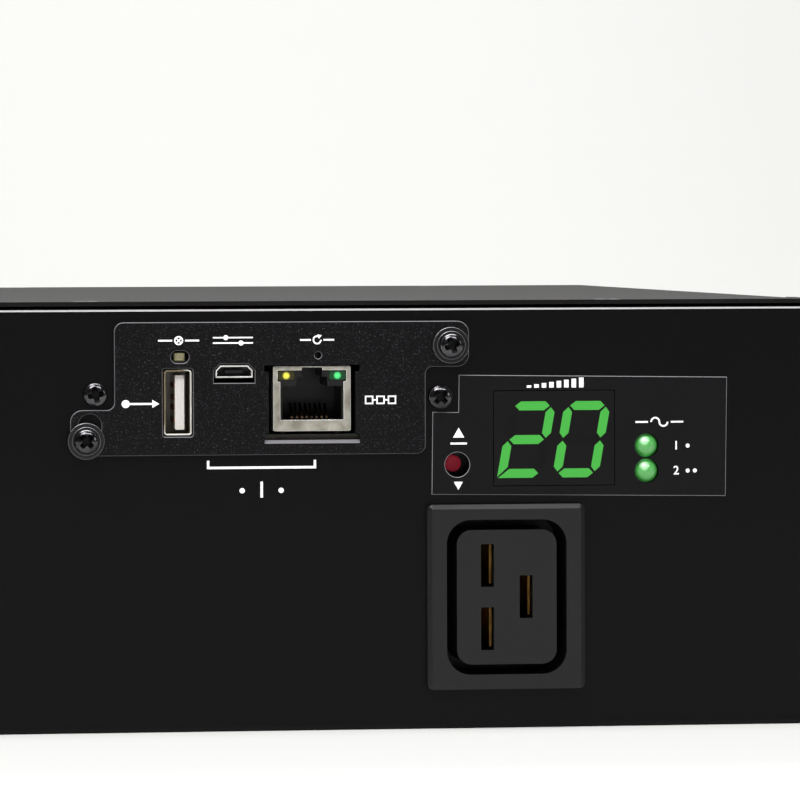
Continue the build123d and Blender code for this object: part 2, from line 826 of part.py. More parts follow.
# Main board of the card, its upper board and the spacers between them
upper_board_x = (status_x + reset_x) / 2
spacer_places = [
    (upper_board_x - upper_board_width / 2 + 5.0, front + upper_board_depth - 3.0),
    (upper_board_x + upper_board_width / 2 - 5.0, front + upper_board_depth - 3.0),
]
with BuildPart() as card_board:
    with BuildSketch(Plane.XY.offset(card_board_bottom)):
        with Locations(((cage_inner_left + cage_inner_right) / 2, front + card_board_recess)):
            Rectangle(card_board_width, card_board_depth, align=(Align.CENTER, Align.MIN))
        with Locations(*[(x, front + plate_tongue_depth / 2) for x in plate_tongue_places]):
            Circle(pan_screw_radius + screw_play, mode=Mode.SUBTRACT)
    extrude(amount=board_thickness)
card_board.part.label = "card_board"
export_step(card_board.part, "parts/card_board.step")

with BuildPart() as card_upper_board:
    with BuildSketch(Plane.XY.offset(upper_board_bottom)):
        with Locations((upper_board_x, front + port_recess)):
            Rectangle(upper_board_width, upper_board_depth, align=(Align.CENTER, Align.MIN))
        with Locations(*spacer_places):
            Circle(pan_screw_radius + screw_play, mode=Mode.SUBTRACT)
    extrude(amount=upper_board_thickness)
card_upper_board.part.label = "card_upper_board"
export_step(card_upper_board.part, "parts/card_upper_board.step")

with BuildPart() as card_spacers:
    with BuildSketch(Plane.XY.offset(card_board_top)):
        with Locations(*spacer_places):
            RegularPolygon(spacer_radius, 6)
            Circle(pan_screw_radius + screw_play, mode=Mode.SUBTRACT)
    extrude(amount=upper_board_bottom - card_board_top)
card_spacers.part.label = "card_spacers"
export_step(card_spacers.part, "parts/card_spacers.step")

# Upright USB socket: folded shell, plastic tongue with its base, four contacts
usb_front = -card_sheet + 0.1
usb_tongue_x = usb_x + usb_width / 2 - usb_tongue_from_right - usb_tongue_width / 2
with BuildPart() as usb_shell:
    with BuildSketch(front_plane(usb_front)):
        with Locations((usb_x, usb_z)):
            RectangleRounded(usb_width, usb_height, 0.6)
            RectangleRounded(usb_width - 2 * usb_wall, usb_height - 2 * usb_wall, 0.3, mode=Mode.SUBTRACT)
    extrude(amount=-usb_depth)
usb_shell.part.label = "usb_shell"
export_step(usb_shell.part, "parts/usb_shell.step")

with BuildPart() as usb_tongue:
    with BuildSketch(front_plane(usb_front + usb_depth - usb_base_depth)):
        with Locations((usb_x, usb_z)):
            RectangleRounded(usb_width - 2 * usb_wall - 2 * screw_play,
                             usb_height - 2 * usb_wall - 2 * screw_play, 0.3)
    extrude(amount=-usb_base_depth)
    with BuildSketch(front_plane(usb_front + usb_tongue_recess)):
        with Locations((usb_tongue_x, usb_z)):
            RectangleRounded(usb_tongue_width, usb_tongue_height, 0.2)
    extrude(amount=usb_tongue_recess - usb_depth + usb_base_depth)
usb_tongue.part.label = "usb_tongue"
export_step(usb_tongue.part, "parts/usb_tongue.step")

with BuildPart() as usb_contacts:
    with BuildSketch(front_plane(usb_front + usb_tongue_recess + 0.8)):
        tongue_left = usb_tongue_x - usb_tongue_width / 2
        with Locations(*[(tongue_left, usb_z + pitch) for pitch in usb_contact_pitches]):
            Rectangle(0.25, usb_contact_width, align=(Align.MAX, Align.CENTER))
    extrude(amount=usb_tongue_recess + 0.8 - usb_depth + usb_base_depth)
usb_contacts.part.label = "usb_contacts"
export_step(usb_contacts.part, "parts/usb_contacts.step")


# Outline of the small port, its upper corners cut off, grown or shrunk by an offset
def port_outline(shrink):
    return keyed_outline(port_width - 2 * shrink, port_height - 2 * shrink, port_chamfer - 0.6 * shrink)


# Small configuration port under the upper board
with BuildPart() as config_port_shell:
    with BuildSketch(front_plane(usb_front + play)):
        with Locations((port_x, port_z)):
            add(port_outline(0))
            add(port_outline(port_wall), mode=Mode.SUBTRACT)
    extrude(amount=-port_depth)
config_port_shell.part.label = "config_port_shell"
export_step(config_port_shell.part, "parts/config_port_shell.step")

with BuildPart() as config_port_tongue:
    with BuildSketch(front_plane(usb_front + play + port_depth - 1.2)):
        with Locations((port_x, port_z)):
            add(port_outline(port_wall + screw_play))
    extrude(amount=-1.2)
    with BuildSketch(front_plane(usb_front + play + 0.8)):
        with Locations((port_x, port_z)):
            Rectangle(port_tongue_width, port_tongue_height)
    extrude(amount=2.0 - port_depth)
config_port_tongue.part.label = "config_port_tongue"
export_step(config_port_tongue.part, "parts/config_port_tongue.step")

# Network jack: shield, plastic insert with its cavity, contact wires and two lamps
lan_front = -card_sheet + port_recess
lan_cavity_z = lan_bottom + lan_rim_bottom
lan_insert_front = lan_front + lan_wall + screw_play
lan_lamp_z = lan_top - lan_lamp_drop - lan_lamp_height / 2
lan_lamp_columns = [lan_x - lan_width / 2 + lan_lamp_inset + lan_lamp_width / 2,
                    lan_x + lan_width / 2 - lan_lamp_inset - lan_lamp_width / 2]
lan_wire_columns = [
    lan_x + (k - (lan_contact_count - 1) / 2) * lan_contact_pitch for k in range(lan_contact_count)
]
lan_foot_places = [
    (lan_x + side * lan_foot_spacing / 2, front + depth) for side in (-1, 1) for depth in lan_foot_depths
]
with BuildPart() as lan_shield:
    with BuildSketch(front_plane(lan_front)):
        with Locations((lan_x, lan_z)):
            RectangleRounded(lan_width, lan_height, 0.4)
    extrude(amount=-lan_depth)
    with BuildSketch(front_plane(lan_front + lan_wall)):
        with Locations((lan_x, lan_z)):
            Rectangle(lan_width - 2 * lan_wall, lan_height - 2 * lan_wall)
    extrude(amount=lan_wall - lan_depth, mode=Mode.SUBTRACT)
    with BuildSketch(front_plane(lan_front)):
        with Locations((lan_x, lan_bottom + lan_rim_bottom)):
            Rectangle(lan_width - 2 * lan_rim_side, lan_height - lan_rim_bottom - lan_rim_shoulder,
                      align=(Align.CENTER, Align.MIN))
        with Locations((lan_x, lan_top - lan_rim_shoulder)):
            Rectangle(lan_width - 2 * lan_rim_shoulder_side, lan_rim_shoulder - lan_rim_top,
                      align=(Align.CENTER, Align.MIN))
        with Locations((lan_x, lan_top - lan_wall)):
            Rectangle(lan_key_width, lan_rim_shoulder, align=(Align.CENTER, Align.MAX))
    extrude(amount=-lan_wall, mode=Mode.SUBTRACT)
    with BuildSketch(front_plane(lan_front + lan_depth)):
        with Locations((lan_x, lan_z)):
            Rectangle(lan_width - lan_wall, lan_height - lan_wall)
    extrude(amount=lan_wall)
    with BuildSketch(Plane.XY.offset(lan_bottom)):
        with Locations(*lan_foot_places):
            Circle(lan_foot_radius + play)
    extrude(amount=lan_wall, mode=Mode.SUBTRACT)
lan_shield.part.label = "lan_shield"
export_step(lan_shield.part, "parts/lan_shield.step")

with BuildPart() as lan_insert:
    with BuildSketch(front_plane(lan_insert_front)):
        with Locations((lan_x, lan_z)):
            Rectangle(lan_width - 2 * lan_wall - 2 * screw_play, lan_height - 2 * lan_wall - 2 * screw_play)
    extrude(amount=3 * lan_wall - lan_depth)
    with BuildSketch(front_plane(lan_insert_front)):
        with Locations((lan_x, lan_cavity_z)):
            Rectangle(lan_cavity_width, lan_cavity_height, align=(Align.CENTER, Align.MIN))
            Rectangle(lan_step_width, lan_cavity_height + lan_step_height, align=(Align.CENTER, Align.MIN))
            Rectangle(lan_key_width, lan_height, align=(Align.CENTER, Align.MIN))
    extrude(amount=-lan_cavity_depth, mode=Mode.SUBTRACT)
    with BuildSketch(front_plane(lan_insert_front)):
        with Locations(*[(x, lan_lamp_z) for x in lan_lamp_columns]):
            Rectangle(lan_lamp_width + 2 * screw_play, lan_lamp_height + 2 * screw_play)
    extrude(amount=-lan_cavity_depth + 1.0, mode=Mode.SUBTRACT)
    with BuildSketch(front_plane(lan_insert_front + 2.0)):
        with Locations(*[(x, lan_cavity_z + 0.1) for x in lan_wire_columns]):
            Rectangle(lan_contact_width + 2 * screw_play, 1.2, align=(Align.CENTER, Align.MAX))
    extrude(amount=-lan_cavity_depth, mode=Mode.SUBTRACT)
    with BuildSketch(Plane.XY.offset(card_board_top)):
        with Locations(*lan_foot_places):
            Circle(lan_foot_radius)
    extrude(amount=lan_bottom - card_board_top + lan_wall + 2 * screw_play)
lan_insert.part.label = "lan_insert"
export_step(lan_insert.part, "parts/lan_insert.step")

wire_back = lan_front + lan_cavity_depth
with BuildPart() as lan_contacts:
    for x in lan_wire_columns:
        with BuildSketch(Plane.YZ.offset(x - lan_contact_width / 2)):
            with BuildLine():
                FilletPolyline(
                    (front + wire_back, lan_cavity_z - 0.55), (front + 3.5, lan_cavity_z - 0.55),
                    (front + wire_back - 4.0, lan_cavity_z + 3.0), radius=0.6,
                )
            trace(line_width=0.35)
        extrude(amount=lan_contact_width)
lan_contacts.part.label = "lan_contacts"
export_step(lan_contacts.part, "parts/lan_contacts.step")

for x, name in zip(lan_lamp_columns, ("lan_lamp_yellow", "lan_lamp_green")):
    with BuildPart() as lan_lamp:
        with BuildSketch(front_plane(lan_insert_front)):
            with Locations((x, lan_lamp_z)):
                RectangleRounded(lan_lamp_width, lan_lamp_height, 0.4)
        extrude(amount=-lan_cavity_depth + 1.5)
    lan_lamp.part.label = name
    export_step(lan_lamp.part, f"parts/{name}.step")

# Status lamp behind its window, on the front edge of the upper board
with BuildPart() as status_lamp:
    with BuildSketch(Plane.XY.offset(upper_board_top)):
        with Locations((status_x, front + port_recess + 0.2)):
            Rectangle(status_lamp_width, status_lamp_depth, align=(Align.CENTER, Align.MIN))
    extrude(amount=status_lamp_height)
    chamfer(status_lamp.faces().sort_by(Axis.Y)[0].edges(), 0.12)
status_lamp.part.label = "status_lamp"
export_step(status_lamp.part, "parts/status_lamp.step")

# Reset switch on the upper board and its plunger behind the pin hole
reset_switch_front = port_recess + reset_length + 0.6
with BuildPart() as reset_switch:
    with BuildSketch(Plane.XY.offset(upper_board_top)):
        with Locations((reset_x, front + reset_switch_front)):
            Rectangle(reset_switch_width, reset_switch_depth, align=(Align.CENTER, Align.MIN))
    extrude(amount=reset_switch_height)
    with BuildSketch(front_plane(reset_switch_front)):
        with Locations((reset_x, upper_board_top + reset_switch_height / 2)):
            Circle(reset_radius + shaft_play)
    extrude(amount=-2.0, mode=Mode.SUBTRACT)
reset_switch.part.label = "reset_switch"
export_step(reset_switch.part, "parts/reset_switch.step")

with BuildPart() as reset_button:
    with BuildSketch(front_plane(reset_switch_front - reset_length)):
        with Locations((reset_x, upper_board_top + reset_switch_height / 2)):
            Circle(reset_radius)
    extrude(amount=-reset_length - 2.0 + reset_travel + 2 * play)
    fillet(reset_button.faces().sort_by(Axis.Y)[0].edges(), 0.15)
reset_button.part.label = "reset_button"
export_step(reset_button.part, "parts/reset_button.step")

# Label film round the display, turned a little as it was stuck on
label_seat = front_plane() * Plane(Location((label_centre_x, label_z, 0), (0, 0, -label_turn)))
with BuildPart() as display_label:
    with BuildSketch(label_seat):
        Rectangle(label_width, label_height)
        with Locations((-label_width / 2, label_height / 2)):
            Rectangle(label_notch_width, label_notch_height, align=(Align.MIN, Align.MAX), mode=Mode.SUBTRACT)
    extrude(amount=label_film)
    with BuildSketch(front_plane()):
        with Locations((display_centre_x, display_z)):
            Rectangle(display_width + 2 * play, display_height + 2 * play)
        with Locations(*[(lamp_centre_x, lamp_z + side * lamp_pitch / 2) for side in (-1, 1)]):
            Circle(lamp_radius + lamp_hole_play)
        with Locations((range_centre_x, range_z)):
            Circle(range_hole_radius)
    extrude(amount=label_film, mode=Mode.SUBTRACT)
display_label.part.label = "display_label"
export_step(display_label.part, "parts/display_label.step")

# The seven bars of a digit, each joining two of its six corners
digit_corners = {
    "top_left": (-digit_width / 2, digit_height / 2), "top_right": (digit_width / 2, digit_height / 2),
    "mid_left": (-digit_width / 2, 0), "mid_right": (digit_width / 2, 0),
    "low_left": (-digit_width / 2, -digit_height / 2), "low_right": (digit_width / 2, -digit_height / 2),
}
digit_bars = {
    "a": ("top_left", "top_right"), "b": ("mid_right", "top_right"), "c": ("low_right", "mid_right"),
    "d": ("low_left", "low_right"), "e": ("low_left", "mid_left"), "f": ("mid_left", "top_left"),
    "g": ("mid_left", "mid_right"),
}
digit_columns = [display_centre_x - digit_pitch / 2, display_centre_x + digit_pitch / 2]
bars_of_two = "abged"
bars_of_zero = "abcdef"


# Outline of one bar: a long hexagon leaned over by the slant, with a sharp corner at the foot of the 2
def bar_outline(bar, digit_x):
    (x0, y0), (x1, y1) = (digit_corners[corner] for corner in digit_bars[bar])
    half, lean = digit_stroke / 2, tan(radians(digit_slant))
    along = Vector(x1 - x0, y1 - y0).normalized()
    across = Vector(-along.Y, along.X) * (half - segment_gap / 3)
    start, end = Vector(x0, y0) + along * segment_gap, Vector(x1, y1) - along * segment_gap
    ring = [
        start, start + along * half + across, end - along * half + across,
        end, end - along * half - across, start + along * half - across,
    ]
    if digit_x == digit_columns[0] and bar in "de":
        outer = across if bar == "e" else across * -1
        ring = [
            start - along * half + outer, end - along * half + outer, end,
            end - along * half - outer, start + along * half - outer,
        ]
    return [(digit_x + p.X + p.Y * lean, display_z - digit_drop + p.Y) for p in ring]


lit_bars = [(bar, digit_columns[0]) for bar in bars_of_two]
lit_bars += [(bar, digit_columns[1]) for bar in bars_of_zero]
unlit_bars = [(bar, x) for x in digit_columns for bar in digit_bars if (bar, x) not in lit_bars]


# The bars in a list as solids let into the face of the display
def bar_solids(bars, face_depth):
    with BuildPart() as solids:
        for bar, x in bars:
            with BuildSketch(front_plane(face_depth)):
                with BuildLine():
                    Polyline(*bar_outline(bar, x), close=True)
                make_face()
            extrude(amount=-segment_depth)
    return solids.part


display_face = -label_film + 0.05
with BuildPart() as display_module:
    with BuildSketch(front_plane(display_face)):
        with Locations((display_centre_x, display_z)):
            Rectangle(display_width, display_height)
    extrude(amount=-display_depth)
    add(bar_solids(lit_bars + unlit_bars, display_face), mode=Mode.SUBTRACT)
    with BuildSketch(front_plane(display_face + display_depth)):
        with Locations(*[
            (display_centre_x + (k - 2) * pin_column_pitch, display_z + side * pin_row_pitch / 2)
            for k in range(5) for side in (-1, 1)
        ]):
            Circle(0.4)
    extrude(amount=display_face + display_depth - display_board_recess)
display_module.part.label = "display_module"
export_step(display_module.part, "parts/display_module.step")

with BuildPart() as display_bars_lit:
    add(bar_solids(lit_bars, display_face))
display_bars_lit.part.label = "display_bars_lit"
export_step(display_bars_lit.part, "parts/display_bars_lit.step")

with BuildPart() as display_bars_unlit:
    add(bar_solids(unlit_bars, display_face))
display_bars_unlit.part.label = "display_bars_unlit"
export_step(display_bars_unlit.part, "parts/display_bars_unlit.step")

# Lamps of the two supplies: a domed lens on a cylinder, two legs down to the board
with BuildPart() as lamp_lens:
    with BuildSketch(Plane.XZ):
        with BuildLine():
            dome = CenterArc((0, lamp_rise - lamp_radius), lamp_radius, 0, 90)
            Polyline(dome @ 1, (0, -lamp_depth), (lamp_radius, -lamp_depth), dome @ 0)
        make_face()
    revolve(axis=Axis.Z)

lamp_places = (("lamp_primary", lamp_z + lamp_pitch / 2), ("lamp_secondary", lamp_z - lamp_pitch / 2))
for name, z in lamp_places:
    with BuildPart() as lamp:
        with Locations(on_front(lamp_centre_x, z)):
            add(lamp_lens.part)
        with BuildSketch(front_plane(lamp_depth)):
            with Locations(*[(lamp_centre_x + side * lamp_leg_pitch / 2, z) for side in (-1, 1)]):
                Rectangle(lamp_leg, lamp_leg)
        extrude(amount=lamp_depth - display_board_recess)
    lamp.part.label = name
    export_step(lamp.part, f"parts/{name}.step")

# Range switch on the display board and its red button behind the hole
with BuildPart() as range_switch:
    with BuildSketch(front_plane(display_board_recess)):
        with Locations((range_centre_x, range_z)):
            RectangleRounded(range_switch_size, range_switch_size, 0.4)
    extrude(amount=range_switch_height)
    with BuildSketch(front_plane(display_board_recess - range_switch_height)):
        with Locations((range_centre_x, range_z)):
            Circle(range_radius + shaft_play)
    extrude(amount=-range_switch_height + 1.0, mode=Mode.SUBTRACT)
range_switch.part.label = "range_switch"
export_step(range_switch.part, "parts/range_switch.step")

with BuildPart() as range_button:
    with BuildSketch(front_plane(display_board_recess - range_height)):
        with Locations((range_centre_x, range_z)):
            Circle(range_radius)
    extrude(amount=-(range_height - 1.0 - range_travel - play))
    fillet(range_button.faces().sort_by(Axis.Y)[0].edges(), 0.3)
range_button.part.label = "range_button"
export_step(range_button.part, "parts/range_button.step")

# Display board on posts behind the front wall
post_places = [(display_board_centre_x + x, display_board_z + z) for x, z in display_post_places]
with BuildPart() as display_board:
    with BuildSketch(front_plane(display_board_recess)):
        with Locations((display_board_centre_x, display_board_z)):
            Rectangle(display_board_width, display_board_height)
        with Locations(*post_places):
            Circle(pan_screw_radius + screw_play, mode=Mode.SUBTRACT)
    extrude(amount=-board_thickness)
display_board.part.label = "display_board"
export_step(display_board.part, "parts/display_board.step")

with BuildPart() as display_posts:
    with BuildSketch(front_plane(tray_sheet)):
        with Locations(*post_places):
            Circle(display_post_radius)
    extrude(amount=tray_sheet - display_board_recess)
    with BuildSketch(front_plane(display_board_recess)):
        with Locations(*post_places):
            Circle(pan_screw_radius + screw_play)
    extrude(amount=board_screw_length, mode=Mode.SUBTRACT)
display_posts.part.label = "display_posts"
export_step(display_posts.part, "parts/display_posts.step")

# Large outlet: housing with a bevelled flange, and the core with three slots seated in its recess
large_blades = [
    (large_blade_offset, 0.0), (-large_blade_offset, large_blade_spacing / 2),
    (-large_blade_offset, -large_blade_spacing / 2),
]
large_body_width = large_outlet_width - 2 * large_outlet_edge
large_body_height = large_outlet_height - 2 * large_outlet_edge
with BuildPart() as large_outlet:
    with BuildSketch(front_plane()):
        with Locations((large_outlet_x, large_outlet_z)):
            RectangleRounded(large_outlet_width, large_outlet_height, large_outlet_corner)
    extrude(amount=outlet_flange)
    chamfer(large_outlet.faces().sort_by(Axis.Y)[0].edges(), outlet_bevel)
    with BuildSketch(front_plane()):
        with Locations((large_outlet_x, large_outlet_z)):
            Rectangle(large_body_width, large_body_height)
    extrude(amount=-outlet_body_depth)
    with BuildSketch(front_plane(-outlet_flange)):
        with Locations((large_outlet_x, large_outlet_z)):
            RectangleRounded(large_recess_width, large_recess_height, large_nose_corner + 2.0)
    extrude(amount=-groove_depth, mode=Mode.SUBTRACT)
    with BuildSketch(front_plane(-outlet_flange)):
        with Locations((large_outlet_x, large_outlet_z)):
            RectangleRounded(large_nose_width, large_nose_height, large_nose_corner)
    extrude(amount=screw_play - groove_depth)
    with BuildSketch(front_plane(-outlet_flange)):
        with Locations(*[(large_outlet_x + x, large_outlet_z + z) for x, z in large_blades]):
            Rectangle(large_slot_wide, large_slot_long)
    extrude(amount=-slot_skin, mode=Mode.SUBTRACT)
    with BuildSketch(front_plane(slot_skin - outlet_flange)):
        with Locations(*[(large_outlet_x + x, large_outlet_z + z) for x, z in large_blades]):
            Rectangle(large_slot_wide + 2 * pocket_play, large_slot_long + pocket_play)
    extrude(amount=slot_skin - outlet_flange - outlet_body_depth, mode=Mode.SUBTRACT)
    for side in (-1, 1):
        with BuildSketch(front_plane(tray_sheet + play)):
            with Locations((large_outlet_x, large_outlet_z + side * (large_body_height + lug_rise) / 2)):
                Rectangle(lug_length, lug_rise)
        extrude(amount=-lug_depth)
large_outlet.part.label = "large_outlet"
export_step(large_outlet.part, "parts/large_outlet.step")


# Two leaves that grip a blade at each of the given places, from one depth back to another
def contact_leaves(places, height, start, back):
    with BuildPart() as leaves:
        with BuildSketch(front_plane(start)):
            for side in (-1, 1):
                with Locations(*[(x + side * (blade_sheet + contact_sheet) / 2, z) for x, z in places]):
                    Rectangle(contact_sheet, height)
        extrude(amount=start - back)
    return leaves.part


leaf_start = slot_skin - outlet_flange + 3.0
leaf_back = outlet_body_depth + 0.3
large_blade_places = [(large_outlet_x + x, large_outlet_z + z) for x, z in large_blades]
with BuildPart() as large_outlet_contacts:
    add(contact_leaves(large_blade_places, large_slot_long - leaf_play, leaf_start, leaf_back))
    with BuildSketch(front_plane(leaf_back)):
        with Locations(*large_blade_places):
            Rectangle(blade_sheet + 2 * contact_sheet, large_slot_long - leaf_play)
    extrude(amount=-strip_sheet)
large_outlet_contacts.part.label = "large_outlet_contacts"
export_step(large_outlet_contacts.part, "parts/large_outlet_contacts.step")

# Strips of eight outlets, each a single moulding
socket_columns = [bank_left + bank_end + bank_pitch * (k + 0.5) for k in range(bank_count)]
small_blades = {
    "line": (-small_blade_spacing / 2, -small_blade_offset),
    "neutral": (small_blade_spacing / 2, -small_blade_offset),
    "earth": (0.0, small_blade_offset),
}
small_recess = keyed_outline(small_recess_width, small_recess_height, small_recess_cut)
small_nose = keyed_outline(small_nose_width, small_nose_height, small_nose_cut)


def outlet_bank(row_z):
    blade_places = [(x + bx, row_z + bz) for x in socket_columns for bx, bz in small_blades.values()]
    with BuildPart() as bank:
        with BuildSketch(front_plane()):
            with Locations((bank_centre_x, row_z)):
                RectangleRounded(bank_width, bank_height, bank_corner)
        extrude(amount=outlet_flange)
        chamfer(bank.faces().sort_by(Axis.Y)[0].edges(), outlet_bevel)
        with BuildSketch(front_plane()):
            with Locations((bank_centre_x, row_z)):
                Rectangle(bank_width - 2 * bank_edge, bank_height - 2 * bank_edge)
        extrude(amount=-outlet_body_depth)
        with BuildSketch(front_plane(-outlet_flange)):
            with Locations(*[(x, row_z) for x in socket_columns]):
                add(small_recess)
                add(small_nose, mode=Mode.SUBTRACT)
        extrude(amount=-groove_depth, mode=Mode.SUBTRACT)
        with BuildSketch(front_plane(-outlet_flange)):
            with Locations(*blade_places):
                Rectangle(small_slot_wide, small_slot_long)
        extrude(amount=-slot_skin, mode=Mode.SUBTRACT)
        with BuildSketch(front_plane(slot_skin - outlet_flange)):
            with Locations(*blade_places):
                Rectangle(small_slot_wide + 2 * pocket_play, small_slot_long + pocket_play)
        extrude(amount=slot_skin - outlet_flange - outlet_body_depth, mode=Mode.SUBTRACT)
        for side in (-1, 1):
            with BuildSketch(front_plane(tray_sheet + play)):
                with Locations(*[
                    (x, row_z + side * (bank_height / 2 - bank_edge + lug_rise / 2))
                    for x in socket_columns[1::5]
                ]):
                    Rectangle(lug_length, lug_rise)
            extrude(amount=-lug_depth)
    return bank.part


for row_z, name in zip(bank_rows, ("outlet_bank_lower", "outlet_bank_upper")):
    bank = outlet_bank(row_z)
    bank.label = name
    export_step(bank, f"parts/{name}.step")

# Bus strips behind the outlets: one comb for each pole of each row
strip_left = socket_columns[0] - strip_overhang
strip_right = socket_columns[-1] + strip_overhang
strip_rises = {"line": -strip_reach, "neutral": strip_reach, "earth": small_blade_offset}
strip_backs = {"line": leaf_back, "neutral": leaf_back, "earth": leaf_back + strip_sheet + strip_step}


# One pole's comb in both rows: a long strip with a tab and two leaves at every outlet
def bus_comb(pole):
    blade_x, blade_z = small_blades[pole]
    rise, back = strip_rises[pole], strip_backs[pole]
    half_leaf = (small_slot_long - leaf_play) / 2
    tab_low, tab_high = min(rise, blade_z - half_leaf), max(rise, blade_z + half_leaf)
    with BuildPart() as comb:
        with BuildSketch(front_plane(back)):
            for row_z in bank_rows:
                with Locations(((strip_left + strip_right) / 2, row_z + rise)):
                    Rectangle(strip_right - strip_left, strip_width)
                with Locations(*[(x + blade_x, row_z + (tab_low + tab_high) / 2) for x in socket_columns]):
                    Rectangle(blade_sheet + 2 * contact_sheet, tab_high - tab_low)
        extrude(amount=-strip_sheet)
        places = [(x + blade_x, row_z + blade_z) for x in socket_columns for row_z in bank_rows]
        add(contact_leaves(places, 2 * half_leaf, leaf_start, back))
    return comb.part


with BuildPart() as outlet_busbars:
    for pole in small_blades:
        add(bus_comb(pole))
outlet_busbars.part.label = "outlet_busbars"
export_step(outlet_busbars.part, "parts/outlet_busbars.step")


# Inlet of one supply: flange on the rear wall, body inside it, cavity with room for three blades
def power_inlet(x):
    blades = [(x + bx, inlet_z + bz) for bx, bz in inlet_blades_at.values()]
    with BuildPart() as inlet:
        with BuildSketch(rear_plane()):
            with Locations((x, inlet_z)):
                RectangleRounded(inlet_flange_width, inlet_flange_height, inlet_corner)
            with Locations(*[(x + side * inlet_screw_spacing / 2, inlet_z) for side in (-1, 1)]):
                Circle(pan_screw_radius + play, mode=Mode.SUBTRACT)
        extrude(amount=-inlet_flange)
        chamfer(inlet.faces().sort_by(Axis.Y)[-1].outer_wire().edges(), outlet_bevel)
        with BuildSketch(rear_plane()):
            with Locations((x, inlet_z)):
                Rectangle(inlet_body_width, inlet_body_height)
        extrude(amount=inlet_body_depth)
        with BuildSketch(rear_plane(-inlet_flange)):
            with Locations((x, inlet_z)):
                RectangleRounded(inlet_cavity_width, inlet_cavity_height, inlet_cavity_corner)
        extrude(amount=inlet_cavity_depth, mode=Mode.SUBTRACT)
        with BuildSketch(rear_plane(-inlet_flange)):
            with Locations(*blades):
                Rectangle(inlet_blade_width + 2 * screw_play, inlet_blade_sheet + 2 * screw_play)
        extrude(amount=inlet_flange + inlet_body_depth, mode=Mode.SUBTRACT)
    return inlet.part


inlet_blades_at = {
    "line": (-inlet_blade_spacing / 2, -inlet_blade_offset),
    "neutral": (inlet_blade_spacing / 2, -inlet_blade_offset),
    "earth": (0.0, inlet_blade_offset),
}
for x, name in zip(inlet_columns, ("inlet_primary", "inlet_secondary")):
    inlet = power_inlet(x)
    inlet.label = name
    export_step(inlet, f"parts/{name}.step")

inlet_floor = inlet_cavity_depth - inlet_flange
inlet_tab_end = inlet_body_depth + inlet_tab_length
with BuildPart() as inlet_blades:
    with BuildSketch(rear_plane(inlet_floor - inlet_blade_length)):
        with Locations(*[
            (x + bx, inlet_z + bz) for x in inlet_columns for bx, bz in inlet_blades_at.values()
        ]):
            Rectangle(inlet_blade_width, inlet_blade_sheet)
    extrude(amount=inlet_tab_end - inlet_floor + inlet_blade_length)
    chamfer(inlet_blades.faces().group_by(Axis.Y)[-1].edges().filter_by(Axis.X), inlet_blade_sheet / 4)
inlet_blades.part.label = "inlet_blades"
export_step(inlet_blades.part, "parts/inlet_blades.step")

with BuildPart() as inlet_screws:
    for x in inlet_columns:
        with Locations(*[
            on_rear(x + side * inlet_screw_spacing / 2, inlet_z, -inlet_flange) for side in (-1, 1)
        ]):
            add(pan_screw(inlet_screw_length, 20.0))
inlet_screws.part.label = "inlet_screws"
export_step(inlet_screws.part, "parts/inlet_screws.step")

# Board of the transfer switch on its standoffs, with relays, transformer, coils and terminals
standoff_places = [
    (x, y) for x in (transfer_left + board_screw_inset, mid_standoff_x, transfer_right - board_screw_inset)
    for y in (transfer_front + board_screw_inset, transfer_rear - board_screw_inset)
]
with BuildPart() as transfer_board:
    with BuildSketch(Plane.XY.offset(transfer_bottom)):
        with Locations((transfer_centre_x, 0)):
            Rectangle(transfer_width, transfer_depth)
        with Locations(*standoff_places):
            Circle(pan_screw_radius + screw_play, mode=Mode.SUBTRACT)
    extrude(amount=board_thickness)
transfer_board.part.label = "transfer_board"
export_step(transfer_board.part, "parts/transfer_board.step")

with BuildPart() as transfer_standoffs:
    with BuildSketch(Plane.XY.offset(tray_sheet)):
        with Locations(*standoff_places):
            RegularPolygon(standoff_radius, 6)
            Circle(pan_screw_radius + screw_play, mode=Mode.SUBTRACT)
    extrude(amount=standoff_height)
transfer_standoffs.part.label = "transfer_standoffs"
export_step(transfer_standoffs.part, "parts/transfer_standoffs.step")

relay_places = [(transfer_centre_x + x, y) for x in relay_columns for y in relay_rows]
with BuildPart() as transfer_relays:
    with BuildSketch(Plane.XY.offset(transfer_top)):
        with Locations(*relay_places):
            RectangleRounded(relay_size[0], relay_size[1], 1.0)
    extrude(amount=relay_size[2])
    chamfer(transfer_relays.faces().group_by(Axis.Z)[-1].edges(), 0.6)
transfer_relays.part.label = "transfer_relays"
export_step(transfer_relays.part, "parts/transfer_relays.step")

with BuildPart() as control_transformer:
    with BuildSketch(Plane.XY.offset(transfer_top)):
        with Locations((transfer_centre_x + transformer_place[0], transformer_place[1])):
            RectangleRounded(transformer_size[0], transformer_size[1], 1.5)
    extrude(amount=transformer_size[2])
    chamfer(control_transformer.faces().sort_by(Axis.Z)[-1].edges(), 1.0)
control_transformer.part.label = "control_transformer"
export_step(control_transformer.part, "parts/control_transformer.step")

